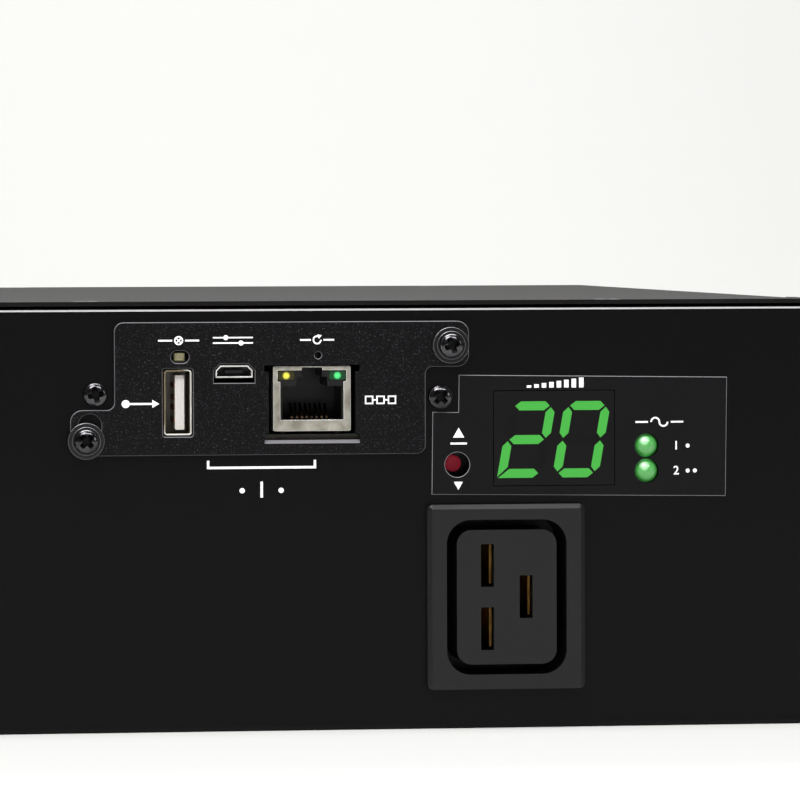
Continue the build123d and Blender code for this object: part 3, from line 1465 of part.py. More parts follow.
coil_y = transfer_front + board_edge + coil_thickness / 2
outlet_terminal_y = coil_y + coil_thickness / 2 + coil_gap + terminal_size[1] / 2
inlet_terminal_y = transfer_rear - board_edge - terminal_size[1] / 2
outlet_lead_columns = {"line": -group_pitch, "neutral": 0.0, "earth": group_pitch}
inlet_lead_columns = {"line": -group_pitch, "earth": 0.0, "neutral": group_pitch}
with BuildPart() as current_coils:
    for x in outlet_groups:
        with BuildSketch(Plane.XZ.offset(-coil_y - coil_thickness / 2)):
            with Locations((x + outlet_lead_columns["line"], lead_z)):
                Circle(coil_outer_radius)
            with Locations((x + outlet_lead_columns["line"], transfer_top)):
                Rectangle(2 * coil_inner_radius + 4, lead_rise, align=(Align.CENTER, Align.MIN))
            with Locations((x + outlet_lead_columns["line"], lead_z)):
                Circle(coil_inner_radius, mode=Mode.SUBTRACT)
        extrude(amount=coil_thickness)
current_coils.part.label = "current_coils"
export_step(current_coils.part, "parts/current_coils.step")

# Terminals: their mouths face the outlets, the inlets or the earth lug
outlet_terminals = [
    (x + dx, outlet_terminal_y, -1) for x in outlet_groups for dx in outlet_lead_columns.values()
]
inlet_terminals = [
    (x + dx, inlet_terminal_y, 1) for x in inlet_columns for dx in inlet_lead_columns.values()
]
lug_terminal = (lug_place[0], inlet_terminal_y, 1)
with BuildPart() as terminals:
    for x, y, way in outlet_terminals + inlet_terminals + [lug_terminal]:
        with BuildSketch(Plane.XY.offset(transfer_top)):
            with Locations((x, y)):
                RectangleRounded(terminal_size[0], terminal_size[1], 0.5)
        extrude(amount=terminal_size[2])
        with BuildSketch(Plane.XY.offset(transfer_top + terminal_size[2])):
            with Locations((x, y)):
                Circle(terminal_screw_radius)
                Rectangle(2 * terminal_screw_radius, 0.7, mode=Mode.SUBTRACT)
        extrude(amount=-1.0, mode=Mode.SUBTRACT)
        with BuildSketch(Plane.XZ.offset(-y - way * terminal_size[1] / 2)):
            with Locations((x, lead_z)):
                Circle(terminal_bore)
        extrude(amount=way * terminal_bore_depth, mode=Mode.SUBTRACT)
terminals.part.label = "terminals"
export_step(terminals.part, "parts/terminals.step")


# A lead from a start on one side of the board to the mouth of a terminal, round in section
def lead(start, way, end_x, end_y, mouth_run):
    mouth = end_y + way * terminal_size[1] / 2
    path = [
        start, (start[0], start[1] - way * lead_straight, start[2]),
        (end_x, mouth + way * mouth_run, lead_z), (end_x, mouth - way * (terminal_bore_depth - 1.0), lead_z),
    ]
    with BuildPart() as wire:
        with BuildLine():
            FilletPolyline(*path, radius=lead_bend)
        with BuildSketch(Plane(origin=start, z_dir=(0, -way, 0))):
            Circle(lead_radius)
        sweep()
    return wire.part


# The leads of one pole: from both rows of outlets, the large outlet and both inlets
def pole_leads(pole):
    column = outlet_lead_columns[pole]
    row_back = front + strip_backs[pole] + strip_sheet
    starts = [
        (x + column, row_back, row_z + strip_rises[pole]) for x, row_z in zip(outlet_groups, bank_rows)
    ]
    large_x, large_z = large_blade_places[list(outlet_lead_columns).index(pole) - 2]
    starts.append((large_x, front + leaf_back + strip_sheet, large_z))
    leads = [
        lead(start, -1, x + column, outlet_terminal_y, coil_gap + coil_thickness + lead_bend)
        for start, x in zip(starts, outlet_groups)
    ]
    for x in inlet_columns:
        bx, bz = inlet_blades_at[pole]
        start = (x + bx, rear - inlet_tab_end, inlet_z + bz)
        leads.append(lead(start, 1, x + inlet_lead_columns[pole], inlet_terminal_y, lead_straight))
    return leads


for pole in outlet_lead_columns:
    with BuildPart() as leads:
        for wire in pole_leads(pole):
            add(wire)
        if pole == "earth":
            lug_start = (lug_place[0], lug_place[1] - lug_reach, lug_top + lead_radius)
            add(lead(lug_start, 1, lug_place[0], inlet_terminal_y, lead_straight))
    leads.part.label = f"{pole}_leads"
    export_step(leads.part, f"parts/{pole}_leads.step")

# Earth lug on its boss
with BuildPart() as earth_lug:
    with BuildSketch(Plane.XY.offset(lug_top - lug_sheet)):
        with Locations(lug_place):
            Circle(boss_radius)
        with Locations((lug_place[0], lug_place[1] - lug_reach / 2)):
            Rectangle(2 * lead_radius, lug_reach)
        with Locations(lug_place):
            Circle(pan_screw_radius + play, mode=Mode.SUBTRACT)
    extrude(amount=lug_sheet)
earth_lug.part.label = "earth_lug"
export_step(earth_lug.part, "parts/earth_lug.step")

# Screws of the boards, all alike
board_screw = pan_screw(board_screw_length)
with BuildPart() as board_screws:
    with Locations(*[(x, y, transfer_top) for x, y in standoff_places]):
        add(board_screw)
    with Locations(*[(x, y, upper_board_top) for x, y in spacer_places]):
        add(board_screw)
    with Locations(*[(x, front + plate_tongue_depth / 2, card_board_top) for x in plate_tongue_places]):
        add(board_screw)
    with Locations(*[
        Plane((x, front + display_board_recess + board_thickness, z), x_dir=(-1, 0, 0), z_dir=(0, 1, 0))
        for x, z in post_places
    ]):
        add(board_screw)
    with Locations((*lug_place, lug_top)):
        add(board_screw)
board_screws.part.label = "board_screws"
export_step(board_screws.part, "parts/board_screws.step")


# A flat ribbon in a plane across the unit, from one header's mouth to another's
def ribbon(x, width, points):
    with BuildPart() as strip:
        with BuildSketch(Plane.YZ.offset(x - width / 2)):
            with BuildLine():
                FilletPolyline(*points, radius=ribbon_bend)
            trace(line_width=ribbon_thickness)
        extrude(amount=width)
    return strip.part


# A header's box with the slot that a ribbon enters
def header(x, width, y, z, way):
    with BuildPart() as box:
        with BuildSketch(Plane.XZ.offset(-y)):
            with Locations((x, z)):
                Rectangle(width + 2 * header_wall, header_height)
        extrude(amount=-way * header_depth)
        with BuildSketch(Plane.XZ.offset(-y - way * header_depth)):
            with Locations((x, z)):
                Rectangle(width + 2 * play, ribbon_thickness + 2 * play)
        extrude(amount=way * (header_depth - header_wall), mode=Mode.SUBTRACT)
    return box.part


display_header_y = front + display_board_recess + board_thickness
display_header_z = display_board_z
card_header_y = front + card_board_depth - header_depth
card_header_z = card_board_top + header_height / 2
low_header_z = transfer_top + header_height / 2
ribbon_seat = header_wall + play
with BuildPart() as ribbons:
    add(ribbon(display_ribbon_x, display_ribbon_width, [
        (display_header_y + ribbon_seat, display_header_z),
        (display_header_y + 3 * header_depth, display_header_z),
        (display_socket_y - 3 * header_depth, low_header_z),
        (display_socket_y - ribbon_seat, low_header_z),
    ]))
    add(ribbon(card_ribbon_x, card_ribbon_width, [
        (card_header_y + ribbon_seat, card_header_z), (card_header_y + 3 * header_depth, card_header_z),
        (card_socket_y - 3 * header_depth, low_header_z), (card_socket_y - ribbon_seat, low_header_z),
    ]))
ribbons.part.label = "ribbons"
export_step(ribbons.part, "parts/ribbons.step")

with BuildPart() as ribbon_headers:
    add(header(display_ribbon_x, display_ribbon_width, display_header_y, display_header_z, 1))
    add(header(display_ribbon_x, display_ribbon_width, display_socket_y, low_header_z, -1))
    add(header(card_ribbon_x, card_ribbon_width, card_header_y, card_header_z, 1))
    add(header(card_ribbon_x, card_ribbon_width, card_socket_y, low_header_z, -1))
ribbon_headers.part.label = "ribbon_headers"
export_step(ribbon_headers.part, "parts/ribbon_headers.step")
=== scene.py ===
from math import cos, pi, radians, sin

import bmesh
import bpy
from mathutils import Matrix, Vector


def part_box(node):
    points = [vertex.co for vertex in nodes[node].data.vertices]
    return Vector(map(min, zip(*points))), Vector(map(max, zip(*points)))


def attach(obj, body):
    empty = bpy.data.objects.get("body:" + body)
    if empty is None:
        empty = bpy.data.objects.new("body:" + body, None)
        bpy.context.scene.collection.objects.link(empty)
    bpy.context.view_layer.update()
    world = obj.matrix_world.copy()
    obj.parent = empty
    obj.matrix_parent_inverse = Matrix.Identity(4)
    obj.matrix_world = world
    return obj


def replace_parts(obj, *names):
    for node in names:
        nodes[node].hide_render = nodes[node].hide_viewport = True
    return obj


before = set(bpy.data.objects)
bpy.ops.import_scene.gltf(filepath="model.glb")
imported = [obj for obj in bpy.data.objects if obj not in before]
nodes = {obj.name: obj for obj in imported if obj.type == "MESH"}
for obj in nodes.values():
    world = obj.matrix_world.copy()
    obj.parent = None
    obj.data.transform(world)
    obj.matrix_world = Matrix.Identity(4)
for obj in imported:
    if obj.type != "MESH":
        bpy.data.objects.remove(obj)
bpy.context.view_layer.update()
scene = bpy.context.scene
print("frame loaded:", len(nodes), "nodes")


# sRGB hex to linear RGBA
def linear(hexCode):
    parts = [int(hexCode[k:k + 2], 16) / 255 for k in (1, 3, 5)]
    return tuple(p / 12.92 if p <= 0.04045 else ((p + 0.055) / 1.055) ** 2.4 for p in parts) + (1.0,)


def mm(*values):  # millimetres to a vector in metres
    return Vector([v * 0.001 for v in values])


def perMm(size):  # texture scale whose features measure this many millimetres
    return 1000.0 / size


# One shader node with its values, its links and, on a colour ramp, its stops
def addNode(tree, kind, inputs=None, links=None, stops=(), **settings):
    node = tree.nodes.new("ShaderNode" + kind)
    for name, value in settings.items():
        setattr(node, name, value)
    for socket, value in (inputs or {}).items():
        node.inputs[socket].default_value = value
    for socket, source in (links or {}).items():
        tree.links.new(source, node.inputs[socket])
    if stops:
        (node.color_ramp.elements[0].position, first), (node.color_ramp.elements[1].position, second) = stops
        node.color_ramp.elements[0].color, node.color_ramp.elements[1].color = linear(first), linear(second)
    return node


def newFinish(name, colour, roughness, **shaderInputs):
    finish = bpy.data.materials.new(name)
    finish.use_nodes = True
    tree = finish.node_tree
    shader = tree.nodes["Principled BSDF"]
    shader.inputs["Base Color"].default_value = linear(colour)
    shader.inputs["Roughness"].default_value = roughness
    for socket, value in shaderInputs.items():
        shader.inputs[socket.replace("_", " ")].default_value = value
    place = addNode(tree, "TexCoord").outputs["Object"]
    return finish, tree, shader, place


print("materials")


# Slanted rims and bends with a painted highlight, palest where they face up: its colour, how far they lean
# forward, and the spread of that
def rubRims(tree, tint, pale, lean, spread, lowest=-2.0):
    normal = addNode(tree, "SeparateXYZ", links={0: addNode(tree, "NewGeometry").outputs["True Normal"]})
    size = addNode(tree, "Math", links={0: normal.outputs["Y"]}, operation="ABSOLUTE")
    slanted = addNode(tree, "Math", {1: lean, 2: spread}, {0: size.outputs[0]}, operation="COMPARE")
    above = addNode(tree, "Math", {1: lowest}, {0: normal.outputs["Z"]}, operation="GREATER_THAN")
    upward = addNode(tree, "MapRange", {"From Min": -0.7, "From Max": 0.7, "To Min": 0.35, "To Max": 1.0},
                     {"Value": normal.outputs["Z"]})
    both = addNode(tree, "Math", links={0: slanted.outputs[0], 1: above.outputs[0]}, operation="MULTIPLY")
    share = addNode(tree, "Math", links={0: both.outputs[0], 1: upward.outputs[0]}, operation="MULTIPLY")
    return addNode(tree, "MixRGB", {"Color2": linear(pale)}, {"Fac": share.outputs[0], "Color1": tint})


# Polyester powder coat on steel: near black, a fine texture whose grains glint, the glints painted as pale
# flecks in its colour, and a sheet that isn't quite flat, so long highlights waver. The grain is drawn
# coarser than life, to show
def powderCoat(name, colour, glint, share, roughness, shine=0.3, rimHighlight=None, fleck=0.5):
    finish, tree, shader, place = newFinish(name, colour, roughness, Specular_IOR_Level=shine)
    grain = addNode(tree, "TexNoise", {"Scale": perMm(fleck), "Detail": 2.0, "Roughness": 0.6},
                    {"Vector": place})
    waves = addNode(tree, "TexNoise", {"Scale": perMm(30.0), "Detail": 1.0}, {"Vector": place})
    glints = addNode(tree, "ValToRGB", links={"Fac": grain.outputs["Fac"]},
                     stops=[(0.62 - share, "#000000"), (0.8 - share, "#ffffff")])
    # painted glints: pale flecks mixed into the colour
    tint = addNode(tree, "MixRGB", {"Color1": linear(colour), "Color2": linear(glint)},
                   {"Fac": glints.outputs["Color"]})
    # the slanted rims get a painted highlight
    if rimHighlight:
        tint = rubRims(tree, tint.outputs[0], *rimHighlight)
    tree.links.new(tint.outputs[0], shader.inputs["Base Color"])
    rough = addNode(tree, "MapRange", {"To Min": roughness + 0.1, "To Max": roughness - 0.08},
                    {"Value": grain.outputs["Fac"]})
    tree.links.new(rough.outputs[0], shader.inputs["Roughness"])
    sheet = addNode(tree, "Bump", {"Strength": 0.4, "Distance": 0.0003}, {"Height": waves.outputs["Fac"]})
    texture = addNode(tree, "Bump", {"Strength": 0.5, "Distance": 0.00004},
                      {"Height": grain.outputs["Fac"], "Normal": sheet.outputs["Normal"]})
    tree.links.new(texture.outputs["Normal"], shader.inputs["Normal"])
    return finish


# Moulded nylon, ABS or film: even colour, a spark-eroded grain and a soft sheen
def mouldedPlastic(name, colour, roughness, grain=0.25, depth=0.02, **more):
    more.setdefault("Specular_IOR_Level", 0.4)
    finish, tree, shader, place = newFinish(name, colour, roughness, **more)
    texture = addNode(tree, "TexNoise", {"Scale": perMm(grain), "Detail": 2.0}, {"Vector": place})
    clouds = addNode(tree, "TexNoise", {"Scale": perMm(12.0), "Detail": 3.0}, {"Vector": place})
    rough = addNode(tree, "MapRange", {"To Min": max(0.02, roughness - 0.05), "To Max": roughness + 0.07},
                    {"Value": clouds.outputs["Fac"]})
    tree.links.new(rough.outputs[0], shader.inputs["Roughness"])
    bump = addNode(tree, "Bump", {"Strength": 0.4, "Distance": depth * 0.001},
                   {"Height": texture.outputs["Fac"]})
    tree.links.new(bump.outputs["Normal"], shader.inputs["Normal"])
    return finish


# Plated or blackened metal: drawn lines along one axis and duller patches
def platedMetal(name, colour, dull, roughness, stretch=(1, 1, 1), streak=0.5, rimHighlight=None, **more):
    more.setdefault("Metallic", 1.0)
    finish, tree, shader, place = newFinish(name, colour, roughness, **more)
    along = addNode(tree, "Mapping", {"Scale": stretch}, {"Vector": place})
    lines = addNode(tree, "TexNoise", {"Scale": perMm(streak), "Detail": 4.0}, {"Vector": along.outputs[0]})
    patches = addNode(tree, "TexNoise", {"Scale": perMm(3.0), "Detail": 4.0}, {"Vector": place})
    tint = addNode(tree, "ValToRGB", links={"Fac": patches.outputs["Fac"]},
                   stops=[(0.35, dull), (0.6, colour)])
    # the slanted rims get a painted highlight
    if rimHighlight:
        tint = rubRims(tree, tint.outputs["Color"], *rimHighlight)
    tree.links.new(tint.outputs[0], shader.inputs["Base Color"])
    rough = addNode(tree, "MapRange", {"To Min": max(0.05, roughness - 0.1), "To Max": roughness + 0.12},
                    {"Value": lines.outputs["Fac"]})
    tree.links.new(rough.outputs[0], shader.inputs["Roughness"])
    bump = addNode(tree, "Bump", {"Strength": 0.35, "Distance": 0.00002}, {"Height": lines.outputs["Fac"]})
    tree.links.new(bump.outputs["Normal"], shader.inputs["Normal"])
    return finish


# Tinted epoxy over a lit chip: glossy outside, and palest around a given spot: where the chip's light leaves
# it, and on the two round lamps a painted highlight set off the chip
def litLens(name, colour, glow, strength, roughness=0.12, spotAt=(0.0, 0.0, 0.0), reach=1.0, **more):
    finish, tree, shader, place = newFinish(name, colour, roughness, **more)
    flat = addNode(tree, "VectorMath", {1: (1.0, 0.0, 1.0)}, {0: place}, operation="MULTIPLY")
    away = addNode(tree, "VectorMath", {1: (spotAt[0], 0.0, spotAt[2])}, {0: flat.outputs[0]},
                   operation="DISTANCE")
    share = addNode(tree, "MapRange", {"From Max": reach * 0.001}, {"Value": away.outputs["Value"]})
    shine = addNode(tree, "ValToRGB", links={"Fac": share.outputs[0]}, stops=[(0.45, glow), (0.95, colour)])
    tree.links.new(shine.outputs["Color"], shader.inputs["Emission Color"])
    tree.links.new(shine.outputs["Color"], shader.inputs["Base Color"])
    shader.inputs["Emission Strength"].default_value = strength
    return finish


def middle(nodeName):  # centre of a node at rest, in metres
    low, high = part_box(nodeName)
    return (low + high) / 2


# Fibreglass board: green solder mask with tracks on its two faces, bare tan glass at its cut edges
def circuitBoard(name, faceAxis):
    finish, tree, shader, place = newFinish(name, "#0f4a26", 0.35)
    tracks = addNode(tree, "TexBrick", {
        "Scale": perMm(9.0), "Mortar Size": 0.06, "Color1": linear("#0d4423"), "Color2": linear("#11532c"),
        "Mortar": linear("#1c7a3f"),
    }, {"Vector": place})
    normal = addNode(tree, "SeparateXYZ", links={0: addNode(tree, "NewGeometry").outputs["Normal"]})
    size = addNode(tree, "Math", links={0: normal.outputs[faceAxis]}, operation="ABSOLUTE")
    face = addNode(tree, "Math", {1: 0.5}, {0: size.outputs[0]}, operation="GREATER_THAN")
    tint = addNode(tree, "MixRGB", {"Color1": linear("#2c2618")},
                   {"Fac": face.outputs[0], "Color2": tracks.outputs["Color"]})
    tree.links.new(tint.outputs[0], shader.inputs["Base Color"])
    bump = addNode(tree, "Bump", {"Strength": 0.3, "Distance": 0.000035}, {"Height": tracks.outputs["Fac"]})
    tree.links.new(bump.outputs["Normal"], shader.inputs["Normal"])
    return finish


# PVC sleeve on stranded wire: slightly waxy, with a faint mottle, or two colours in bands
def wireSleeve(name, colour, second=None):
    finish, tree, shader, place = newFinish(name, colour, 0.42)
    mottle = addNode(tree, "TexNoise", {"Scale": perMm(4.0), "Detail": 3.0}, {"Vector": place})
    if second:
        bands = addNode(tree, "TexWave", {"Scale": perMm(28.0), "Distortion": 1.2}, {"Vector": place})
        tint = addNode(tree, "ValToRGB", links={"Fac": bands.outputs["Fac"]},
                       stops=[(0.62, colour), (0.66, second)])
        tree.links.new(tint.outputs["Color"], shader.inputs["Base Color"])
    bump = addNode(tree, "Bump", {"Strength": 0.4, "Distance": 0.00006}, {"Height": mottle.outputs["Fac"]})
    tree.links.new(bump.outputs["Normal"], shader.inputs["Normal"])
    return finish


# Screen-printed ink: opaque white, a little uneven in density, with a painted glow
def printedInk():  # it stays bright where the key light misses it
    finish, tree, shader, place = newFinish("screenPrintWhite", "#f4f4f4", 0.6)
    grain = addNode(tree, "TexNoise", {"Scale": perMm(0.35), "Detail": 2.0}, {"Vector": place})
    tint = addNode(tree, "ValToRGB", links={"Fac": grain.outputs["Fac"]},
                   stops=[(0.3, "#e2e2e2"), (0.6, "#fbfbfb")])
    tree.links.new(tint.outputs["Color"], shader.inputs["Base Color"])
    shader.inputs["Emission Color"].default_value = linear("#efefef")
    shader.inputs["Emission Strength"].default_value = 0.3
    return finish


paintedHighlightShift = mm(-0.55, 0, 1.0)  # from a lamp's middle up and to the left, to its painted highlight
finishes = {
    # black powder coat: a soft sheen, with a painted highlight along the bend and the plate's rims
    "caseSteel": powderCoat("powderCoatedSteel", "#060507", "#1c1b1e", 0.0, 0.31, 0.15,
                            ("#c8c6c8", 0.87, 0.09, 0.05)),
    "coverSteel": powderCoat("powderCoatedCover", "#0f0d0d", "#2b2928", 0.04, 0.56, 0.15),
    "plateSteel": powderCoat("powderCoatedPlate", "#060507", "#504e53", 0.035, 0.38, 0.17,
                             ("#7b797d", 0.7, 0.15), 0.33),
    # blackened screws: a dark mirror, painted highlights on the recess's edges and the collars' rims, and
    # painted shade, with no shine, inside the recess
    "blackOxide": platedMetal("blackOxideSteel", "#545255", "#3a393b", 0.14, streak=0.3,
                              rimHighlight=("#c9c7cb", 0.6, 0.08)),
    "recessSteel": platedMetal("recessPaintedShade", "#0b0b0c", "#070708", 0.5, streak=0.3, Metallic=0.5),
    "collarSteel": platedMetal("blackOxideCollar", "#161516", "#0c0c0d", 0.34, streak=0.3, Metallic=0.6,
                               rimHighlight=("#8a888c", 0.7, 0.2), Coat_Weight=0.6, Coat_Roughness=0.2),
    # zinc is a cold pale grey and nickel a warm one, both with fine drawn lines
    "zincSheet": platedMetal("galvanisedSheet", "#b4b4b0", "#8f8f8b", 0.42, (1, 0.08, 1)),
    "zincScrew": platedMetal("zincPlatedSteel", "#b9b6ad", "#8d8a80", 0.3),
    "nickelBrass": platedMetal("nickelPlatedBrass", "#b8b09a", "#8f8870", 0.28),
    # contacts lie deep in their sockets, so brass and gilt show dull and dark: the darkness of the gilt and
    # bronze is painted shade
    "brass": platedMetal("strippedBrass", "#c79b52", "#9b7338", 0.32, (0.1, 1, 1)),
    "goldContact": platedMetal("goldPlatedContact", "#7a4a2a", "#3f2015", 0.4),
    "dullContact": platedMetal("phosphorBronzeContact", "#4a3c2e", "#2a211a", 0.4),
    # socket shells: greyish drawn sides, and front edges with a painted white highlight
    "tinShell": platedMetal("tinPlatedShell", "#b4b0a5", "#8d887b", 0.36, (1, 0.2, 1), 1.6,
                            ("#fbfaf6", 0.6, 0.35), Metallic=0.45),
    "socketShell": platedMetal("nickelPlatedSocket", "#857a5e", "#5c5340", 0.34, (1, 0.2, 1), 1.2,
                               Metallic=0.5),
    "lipHighlight": platedMetal("socketLipHighlight", "#fbfaf6", "#e9e7e0", 0.3, Metallic=0.2),
    "portShell": platedMetal("brightNickelPort", "#dcdad6", "#b5b2ac", 0.3, rimHighlight=("#fdfdfd", 0.6, 0.35),
                             Metallic=0.3),
    # moulded black: a fine grain that breaks up highlights
    "nylonBlack": mouldedPlastic("mouldedNylonBlack", "#121213", 0.4),
    "portBlack": mouldedPlastic("mouldedPortBlack", "#0d0d0d", 0.35, 0.15),
    "switchBlack": mouldedPlastic("mouldedSwitchBlack", "#141415", 0.4, 0.15),
    # epoxy and film: flat black with almost no sheen, and a grey line at the film's cut edge
    "displayFace": mouldedPlastic("displayEpoxyFace", "#0d0b0c", 0.34, 0.5, 0.008, Specular_IOR_Level=0.2),
    "unlitBar": mouldedPlastic("unlitSegmentDark", "#090708", 0.34, 0.5, 0.008, Specular_IOR_Level=0.2),
    "labelFilm": mouldedPlastic("polycarbonateFilm", "#09080b", 0.4, 0.5, 0.006, Specular_IOR_Level=0.2),
    "filmEdge": mouldedPlastic("polycarbonateCutEdge", "#8b8b8f", 0.4, 0.3, 0.01),
    # the cap sits in shade, and a painted red glow keeps it reading red
    "redCap": mouldedPlastic("mouldedCapRed", "#c42a44", 0.35, 0.2, 0.01, Specular_IOR_Level=0.25,
                             Emission_Color=linear("#8c1a2c"), Emission_Strength=0.4),
    # plain mouldings, castings and stacked iron, each even in colour
    "whiteTongue": mouldedPlastic("mouldedTongueWhite", "#d9d4d0", 0.4, 0.2, 0.01),
    "nylonNatural": mouldedPlastic("nylonNatural", "#c9c7c0", 0.45),
    "relayBlack": mouldedPlastic("sealedRelayCase", "#17171a", 0.3),
    "terminalGreen": mouldedPlastic("terminalBlockGreen", "#1f7d3c", 0.4),
    "castBlue": mouldedPlastic("castResinBlue", "#1f4c8c", 0.3),
    "varnishedCore": platedMetal("varnishedLaminations", "#7a7468", "#4c473e", 0.4, (1, 1, 12), 0.6),
    "ribbonGrey": mouldedPlastic("ribbonVinylGrey", "#a5a5a6", 0.45, 1.27, 0.2),
    "boardFlat": circuitBoard("solderMaskFlat", "Z"),
    "boardUpright": circuitBoard("solderMaskUpright", "Y"),
    "brownSleeve": wireSleeve("wireSleeveBrown", "#5a3216"),
    "blueSleeve": wireSleeve("wireSleeveBlue", "#23509f"),
    "earthSleeve": wireSleeve("wireSleeveGreenYellow", "#2f8a35", "#c9c22e"),
    # lit parts: the digits glow evenly, and each lamp has a pale spot; on the two round lamps it is a painted
    # highlight
    "litGreen": litLens("litSegmentGreen", "#3e943c", "#3e943c", 0.56, 0.5, Specular_IOR_Level=0.1),
    "lampOne": litLens("lampLensUpper", "#479d49", "#a3daa4", 0.28, 0.3,
                       middle("lamp_primary") + paintedHighlightShift, 1.2, Coat_Weight=1.0, Coat_Roughness=0.17),
    "lampTwo": litLens("lampLensLower", "#479d49", "#a3daa4", 0.28, 0.3,
                       middle("lamp_secondary") + paintedHighlightShift, 1.2, Coat_Weight=1.0, Coat_Roughness=0.17),
    "jackGreen": litLens("jackLensGreen", "#0c3a1c", "#4fd87a", 0.4, 0.2,
                         middle("lan_lamp_green"), 0.9),
    "jackYellow": litLens("jackLensYellow", "#2a280c", "#dcd44e", 0.4, 0.2,
                          middle("lan_lamp_yellow"), 0.9),
    "statusLens": litLens("statusLensPale", "#8f8862", "#c9c294", 0.08, 0.3,
                          middle("status_lamp"), 1.4),
    "ink": printedInk(),
}

nodeFinishes = {
    "chassis": "caseSteel", "top_cover": "coverSteel", "ear_left": "caseSteel", "ear_right": "caseSteel",
    "card_plate": "plateSteel", "card_collars": "collarSteel", "card_screws": "blackOxide",
    "slot_screws": "blackOxide", "cover_screws": "blackOxide", "ear_screws": "blackOxide",
    "inlet_screws": "blackOxide", "card_cage": "zincSheet", "earth_lug": "zincSheet",
    "board_screws": "zincScrew", "transfer_standoffs": "zincScrew", "card_spacers": "nickelBrass",
    "display_posts": "nickelBrass", "inlet_blades": "nickelBrass", "large_outlet_contacts": "brass",
    "outlet_busbars": "brass", "lan_contacts": "dullContact", "usb_contacts": "goldContact",
    "lan_shield": "tinShell", "usb_shell": "socketShell", "config_port_shell": "portShell",
    "large_outlet": "nylonBlack", "outlet_bank_lower": "nylonBlack", "outlet_bank_upper": "nylonBlack",
    "inlet_primary": "nylonBlack", "inlet_secondary": "nylonBlack", "lan_insert": "portBlack",
    "config_port_tongue": "portBlack", "range_switch": "switchBlack", "reset_button": "switchBlack",
    "reset_switch": "switchBlack", "ribbon_headers": "switchBlack", "display_module": "displayFace",
    "display_label": "labelFilm", "display_bars_lit": "litGreen", "display_bars_unlit": "unlitBar",
    "lamp_primary": "lampOne", "lamp_secondary": "lampTwo", "lan_lamp_green": "jackGreen",
    "lan_lamp_yellow": "jackYellow", "status_lamp": "statusLens", "range_button": "redCap",
    "usb_tongue": "whiteTongue", "card_guides": "nylonNatural", "card_board": "boardFlat",
    "card_upper_board": "boardFlat", "display_board": "boardUpright", "transfer_board": "boardFlat",
    "transfer_relays": "relayBlack", "terminals": "terminalGreen", "current_coils": "castBlue",
    "control_transformer": "varnishedCore", "ribbons": "ribbonGrey", "line_leads": "brownSleeve",
    "neutral_leads": "blueSleeve", "earth_leads": "earthSleeve",
}
for nodeName, finishName in nodeFinishes.items():
    nodes[nodeName].data.materials.clear()
    nodes[nodeName].data.materials.append(finishes[finishName])

print("pieces")


# Shaping helpers: every length below is in millimetres
def finishPiece(name, bm, finishNames, angle=35, smooth=True):
    bmesh.ops.scale(bm, vec=(0.001, 0.001, 0.001), verts=bm.verts)
    bmesh.ops.recalc_face_normals(bm, faces=bm.faces)
    mesh = bpy.data.meshes.new(name)
    bm.to_mesh(mesh)
    bm.free()
    for finishName in finishNames:
        mesh.materials.append(finishes[finishName])
    if smooth:
        mesh.shade_smooth()
        mesh.set_sharp_from_angle(angle=radians(angle))
    piece = bpy.data.objects.new(name, mesh)
    scene.collection.objects.link(piece)
    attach(piece, "unit")
    return piece


def facing(x, y, z, turn=0.0):  # local z looks out of the front, turned about it by degrees
    out = Matrix.Rotation(pi / 2, 4, "X") @ Matrix.Rotation(radians(turn), 4, "Z")
    return Matrix.Translation((x, y, z)) @ out


def addBlock(bm, at, size, turn=0.0):
    place = facing(*at, turn) @ Matrix.Diagonal((size[0], size[2], size[1], 1.0))
    bmesh.ops.create_cube(bm, size=1.0, matrix=place)


def addDisc(bm, at, radius, depth):
    bmesh.ops.create_cone(bm, cap_ends=True, segments=40, radius1=radius, radius2=radius, depth=depth,
                          matrix=facing(*at))


def addArc(bm, at, radius, stroke, depth, start=0.0, sweep=360.0, steps=40):
    place = facing(*at, start) @ Matrix.Translation((radius, 0, 0)) @ Matrix.Rotation(pi / 2, 4, "X")
    made = bmesh.ops.create_grid(bm, x_segments=1, y_segments=1, size=0.5,
                                 matrix=place @ Matrix.Diagonal((stroke, depth, 1.0, 1.0)))["verts"]
    faces = list({face for vert in made for face in vert.link_faces})
    geom = faces + list({edge for face in faces for edge in face.edges}) + made
    bmesh.ops.spin(bm, geom=geom, cent=at, axis=(0, -1, 0), angle=radians(sweep), steps=steps,
                   use_merge=sweep > 359)


# Printed marks: plain shapes and numbers in place of the words. Places are X and Z on the front
marks = {"ink": 0.03, "lift": 0.01, "stroke": 0.36, "thin": 0.3, "numberHeight": 1.75,
         "slotNumberHeight": 3.3, "digitShare": 0.7, "digitSwell": 0.03}


def addTriangle(bm, at, radius, turn):
    bmesh.ops.create_cone(bm, cap_ends=True, segments=3, radius1=radius, radius2=radius,
                          depth=marks["ink"], matrix=facing(*at, turn))


def addNumber(bm, text, at, height):
    words = bpy.data.curves.new("number", "FONT")
    words.body, words.size, words.extrude = text, height / marks["digitShare"], marks["ink"] / 2
    words.align_x, words.align_y, words.offset = "CENTER", "CENTER", marks["digitSwell"]
    holder = bpy.data.objects.new("number", words)
    scene.collection.objects.link(holder)
    bpy.context.view_layer.update()
    mesh = bpy.data.meshes.new_from_object(holder.evaluated_get(bpy.context.evaluated_depsgraph_get()))
    mesh.transform(facing(*at))
    bm.from_mesh(mesh)
    bpy.data.objects.remove(holder)
    bpy.data.meshes.remove(mesh)


